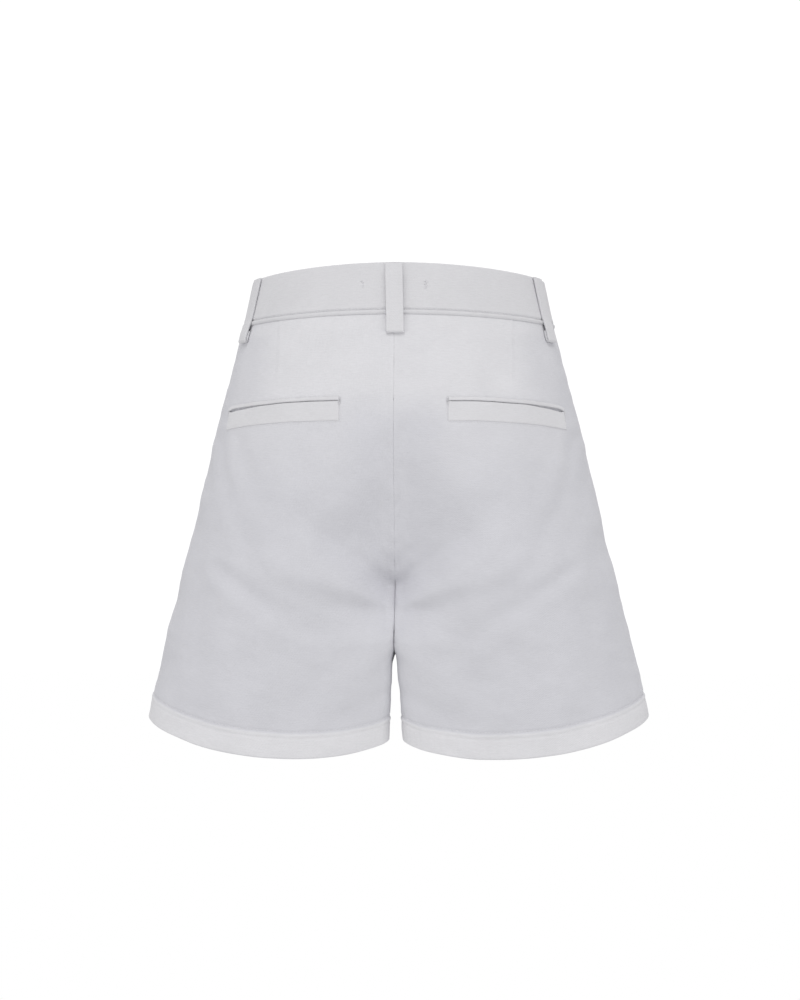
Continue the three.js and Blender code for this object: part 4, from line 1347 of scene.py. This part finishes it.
class SHORTS_OT_stage(bpy.types.Operator):
    """White surroundings, a pale floor, a large soft light above the camera, two low ones at the
    sides and one behind, and the camera"""

    bl_idname = "shorts.stage"
    bl_label = "Stage"

    # Millimetres of the side seams' plane in one pixel, and sizes of the picture.
    MM_PER_PIXEL = 0.86
    PICTURE_HEIGHT = 1000
    OFF_CENTRE_PIXELS = 1.5
    SENSOR = 36.0

    FLOOR_HALF = 4000.0
    FLOOR_LEVEL = -640.0
    SEEN_WHITE = 1.05

    # Where the lamps point, and each one's name, place and size in metres, and share of the power.
    AIM = (0.0, 0.0, -0.18)
    LIGHTS = (
        ("upper_soft", (0.0, 2.6, 3.4), 2.2, 4.4),
        ("left_soft", (1.1, 1.0, -0.5), 1.0, 0.42),
        ("right_soft", (-1.1, 1.0, -0.5), 1.0, 0.42),
        ("far_soft", (0.0, -1.2, 1.6), 1.0, 1.0),
    )

    def execute(self, context):
        stage = context.scene.shorts_stage
        self.camera(context, stage)
        self.light(context, stage)
        self.surroundings(context, stage)
        context.scene.view_settings.view_transform = "Standard"
        context.scene.view_settings.look = "None"
        return {"FINISHED"}

    def camera(self, context, stage):
        data = bpy.data.cameras.new("camera")
        data.sensor_width = self.SENSOR
        view = self.PICTURE_HEIGHT * self.MM_PER_PIXEL * MM
        data.lens = self.SENSOR * stage.distance / view
        camera = bpy.data.objects.new("camera", data)
        x = stage.distance * math.sin(stage.azimuth)
        y = -stage.distance * math.cos(stage.azimuth)
        right = (math.cos(stage.azimuth), math.sin(stage.azimuth))
        aside = self.OFF_CENTRE_PIXELS * self.MM_PER_PIXEL * MM
        camera.location = (x + right[0] * aside, y + right[1] * aside, stage.height)
        camera.rotation_euler = (math.pi / 2, 0, stage.azimuth)
        context.collection.objects.link(camera)
        context.scene.camera = camera

    def light(self, context, stage):
        for name, place, size, share in self.LIGHTS:
            data = bpy.data.lights.new(name, "AREA")
            data.size = size
            data.energy = stage.power * share
            lamp = bpy.data.objects.new(name, data)
            lamp.location = place
            x, y, z = np.array(self.AIM) - np.array(place)
            lamp.rotation_euler = (math.acos(-z / math.hypot(x, y, z)), 0, math.atan2(-x, y))
            context.collection.objects.link(lamp)

    def surroundings(self, context, stage):
        world = bpy.data.worlds.new("studio")
        world.use_nodes = True
        tree = world.node_tree
        seen = tree.nodes.new("ShaderNodeLightPath")
        mix = tree.nodes.new("ShaderNodeMixShader")
        plain = tree.nodes["Background"]
        white = tree.nodes.new("ShaderNodeBackground")
        for background, strength in ((plain, stage.sky), (white, self.SEEN_WHITE)):
            background.inputs["Color"].default_value = WHITE
            background.inputs["Strength"].default_value = strength
        tree.links.new(seen.outputs["Is Camera Ray"], mix.inputs[0])
        tree.links.new(plain.outputs[0], mix.inputs[1])
        tree.links.new(white.outputs[0], mix.inputs[2])
        tree.links.new(mix.outputs[0], tree.nodes["World Output"].inputs["Surface"])
        context.scene.world = world
        shader = Shader(
            "floor_paint",
            Base_Color=(0, 0, 0, 1),
            Specular_IOR_Level=0.0,
            Emission_Color=WHITE,
            Emission_Strength=1.0,
        )
        square = ((-1, -1), (1, -1), (1, 1), (-1, 1))
        corners = np.array([(x * self.FLOOR_HALF, y * self.FLOOR_HALF, self.FLOOR_LEVEL) for x, y in square])
        mesh = bpy.data.meshes.new("floor")
        mesh.from_pydata(corners * MM, [], [(0, 1, 2, 3)])
        mesh.materials.append(shader.material)
        floor = bpy.data.objects.new("floor", mesh)
        floor.visible_diffuse = False
        floor.visible_glossy = False
        context.collection.objects.link(floor)


class SHORTS_OT_panels(bpy.types.Operator):
    """The two back and two front panels, with their seams, darts, hems and folds"""

    bl_idname = "shorts.panels"
    bl_label = "Panels"

    def execute(self, context):
        for hand in HANDS:
            for part in SIDES:
                make_panel(part, hand)
        return {"FINISHED"}


class SHORTS_OT_waistband(bpy.types.Operator):
    """Both halves of the waistband"""

    bl_idname = "shorts.waistband"
    bl_label = "Waistband"

    def execute(self, context):
        for hand in HANDS:
            make_band(hand)
        return {"FINISHED"}


class SHORTS_OT_loops(bpy.types.Operator):
    """The five belt loops"""

    bl_idname = "shorts.loops"
    bl_label = "Belt Loops"

    def execute(self, context):
        for row in LOOPS:
            make_loop(*row)
        return {"FINISHED"}


class SHORTS_OT_pockets(bpy.types.Operator):
    """The lips and welts of the back pockets"""

    bl_idname = "shorts.pockets"
    bl_label = "Back Pockets"

    def execute(self, context):
        for hand in HANDS:
            lip = make_patch("pocket_lip", hand, lip_edges, 1.0, 7, (0.0, 0.05, 0.12, 0.2))
            welt = make_patch("pocket_welt", hand, welt_edges, 0.75, 12, (0.0, 0.012, 0.03, 0.06))
        return {"FINISHED"}


class SHORTS_OT_fly(bpy.types.Operator):
    """The shield behind the fly, and the button with its thread"""

    bl_idname = "shorts.fly"
    bl_label = "Fly and Button"

    def execute(self, context):
        make_shield()
        make_button()
        return {"FINISHED"}


class SHORTS_OT_stitching(bpy.types.Operator):
    """All the rows of stitches and the tacks"""

    bl_idname = "shorts.stitching"
    bl_label = "Stitching"

    def execute(self, context):
        sew_hems()
        sew_band()
        sew_pockets()
        sew_fly()
        sew_bartacks()
        sew_label_tacks()
        return {"FINISHED"}


class SHORTS_PT_sidebar(bpy.types.Panel):
    """Sizes, looks and the making of each group of pieces"""

    bl_idname = "SHORTS_PT_sidebar"
    bl_label = "White Denim Shorts"
    bl_space_type = "VIEW_3D"
    bl_region_type = "UI"
    bl_category = "Shorts"

    def draw(self, context):
        for group in (context.scene.shorts_cut, context.scene.shorts_cloth, context.scene.shorts_stage):
            box = self.layout.box()
            for name in group.__annotations__:
                box.prop(group, name)
        for operator in OPERATORS:
            self.layout.operator(operator.bl_idname)


OPERATORS = (
    SHORTS_OT_stage,
    SHORTS_OT_panels,
    SHORTS_OT_waistband,
    SHORTS_OT_loops,
    SHORTS_OT_pockets,
    SHORTS_OT_fly,
    SHORTS_OT_stitching,
)
GROUPS = {
    "shorts_cut": ShortsCutSettings,
    "shorts_cloth": ShortsClothSettings,
    "shorts_stage": ShortsStageSettings,
}


def register():
    for name, group in GROUPS.items():
        bpy.utils.register_class(group)
        setattr(bpy.types.Scene, name, bpy.props.PointerProperty(type=group))
    for operator in OPERATORS:
        bpy.utils.register_class(operator)
    bpy.utils.register_class(SHORTS_PT_sidebar)


def unregister():
    bpy.utils.unregister_class(SHORTS_PT_sidebar)
    for operator in reversed(OPERATORS):
        bpy.utils.unregister_class(operator)
    for name, group in GROUPS.items():
        delattr(bpy.types.Scene, name)
        bpy.utils.unregister_class(group)


def main():
    register()
    bpy.ops.shorts.stage()
    bpy.ops.shorts.panels()
    bpy.ops.shorts.waistband()
    bpy.ops.shorts.loops()
    bpy.ops.shorts.pockets()
    bpy.ops.shorts.fly()
    bpy.ops.shorts.stitching()


if __name__ == "__main__":
    main()
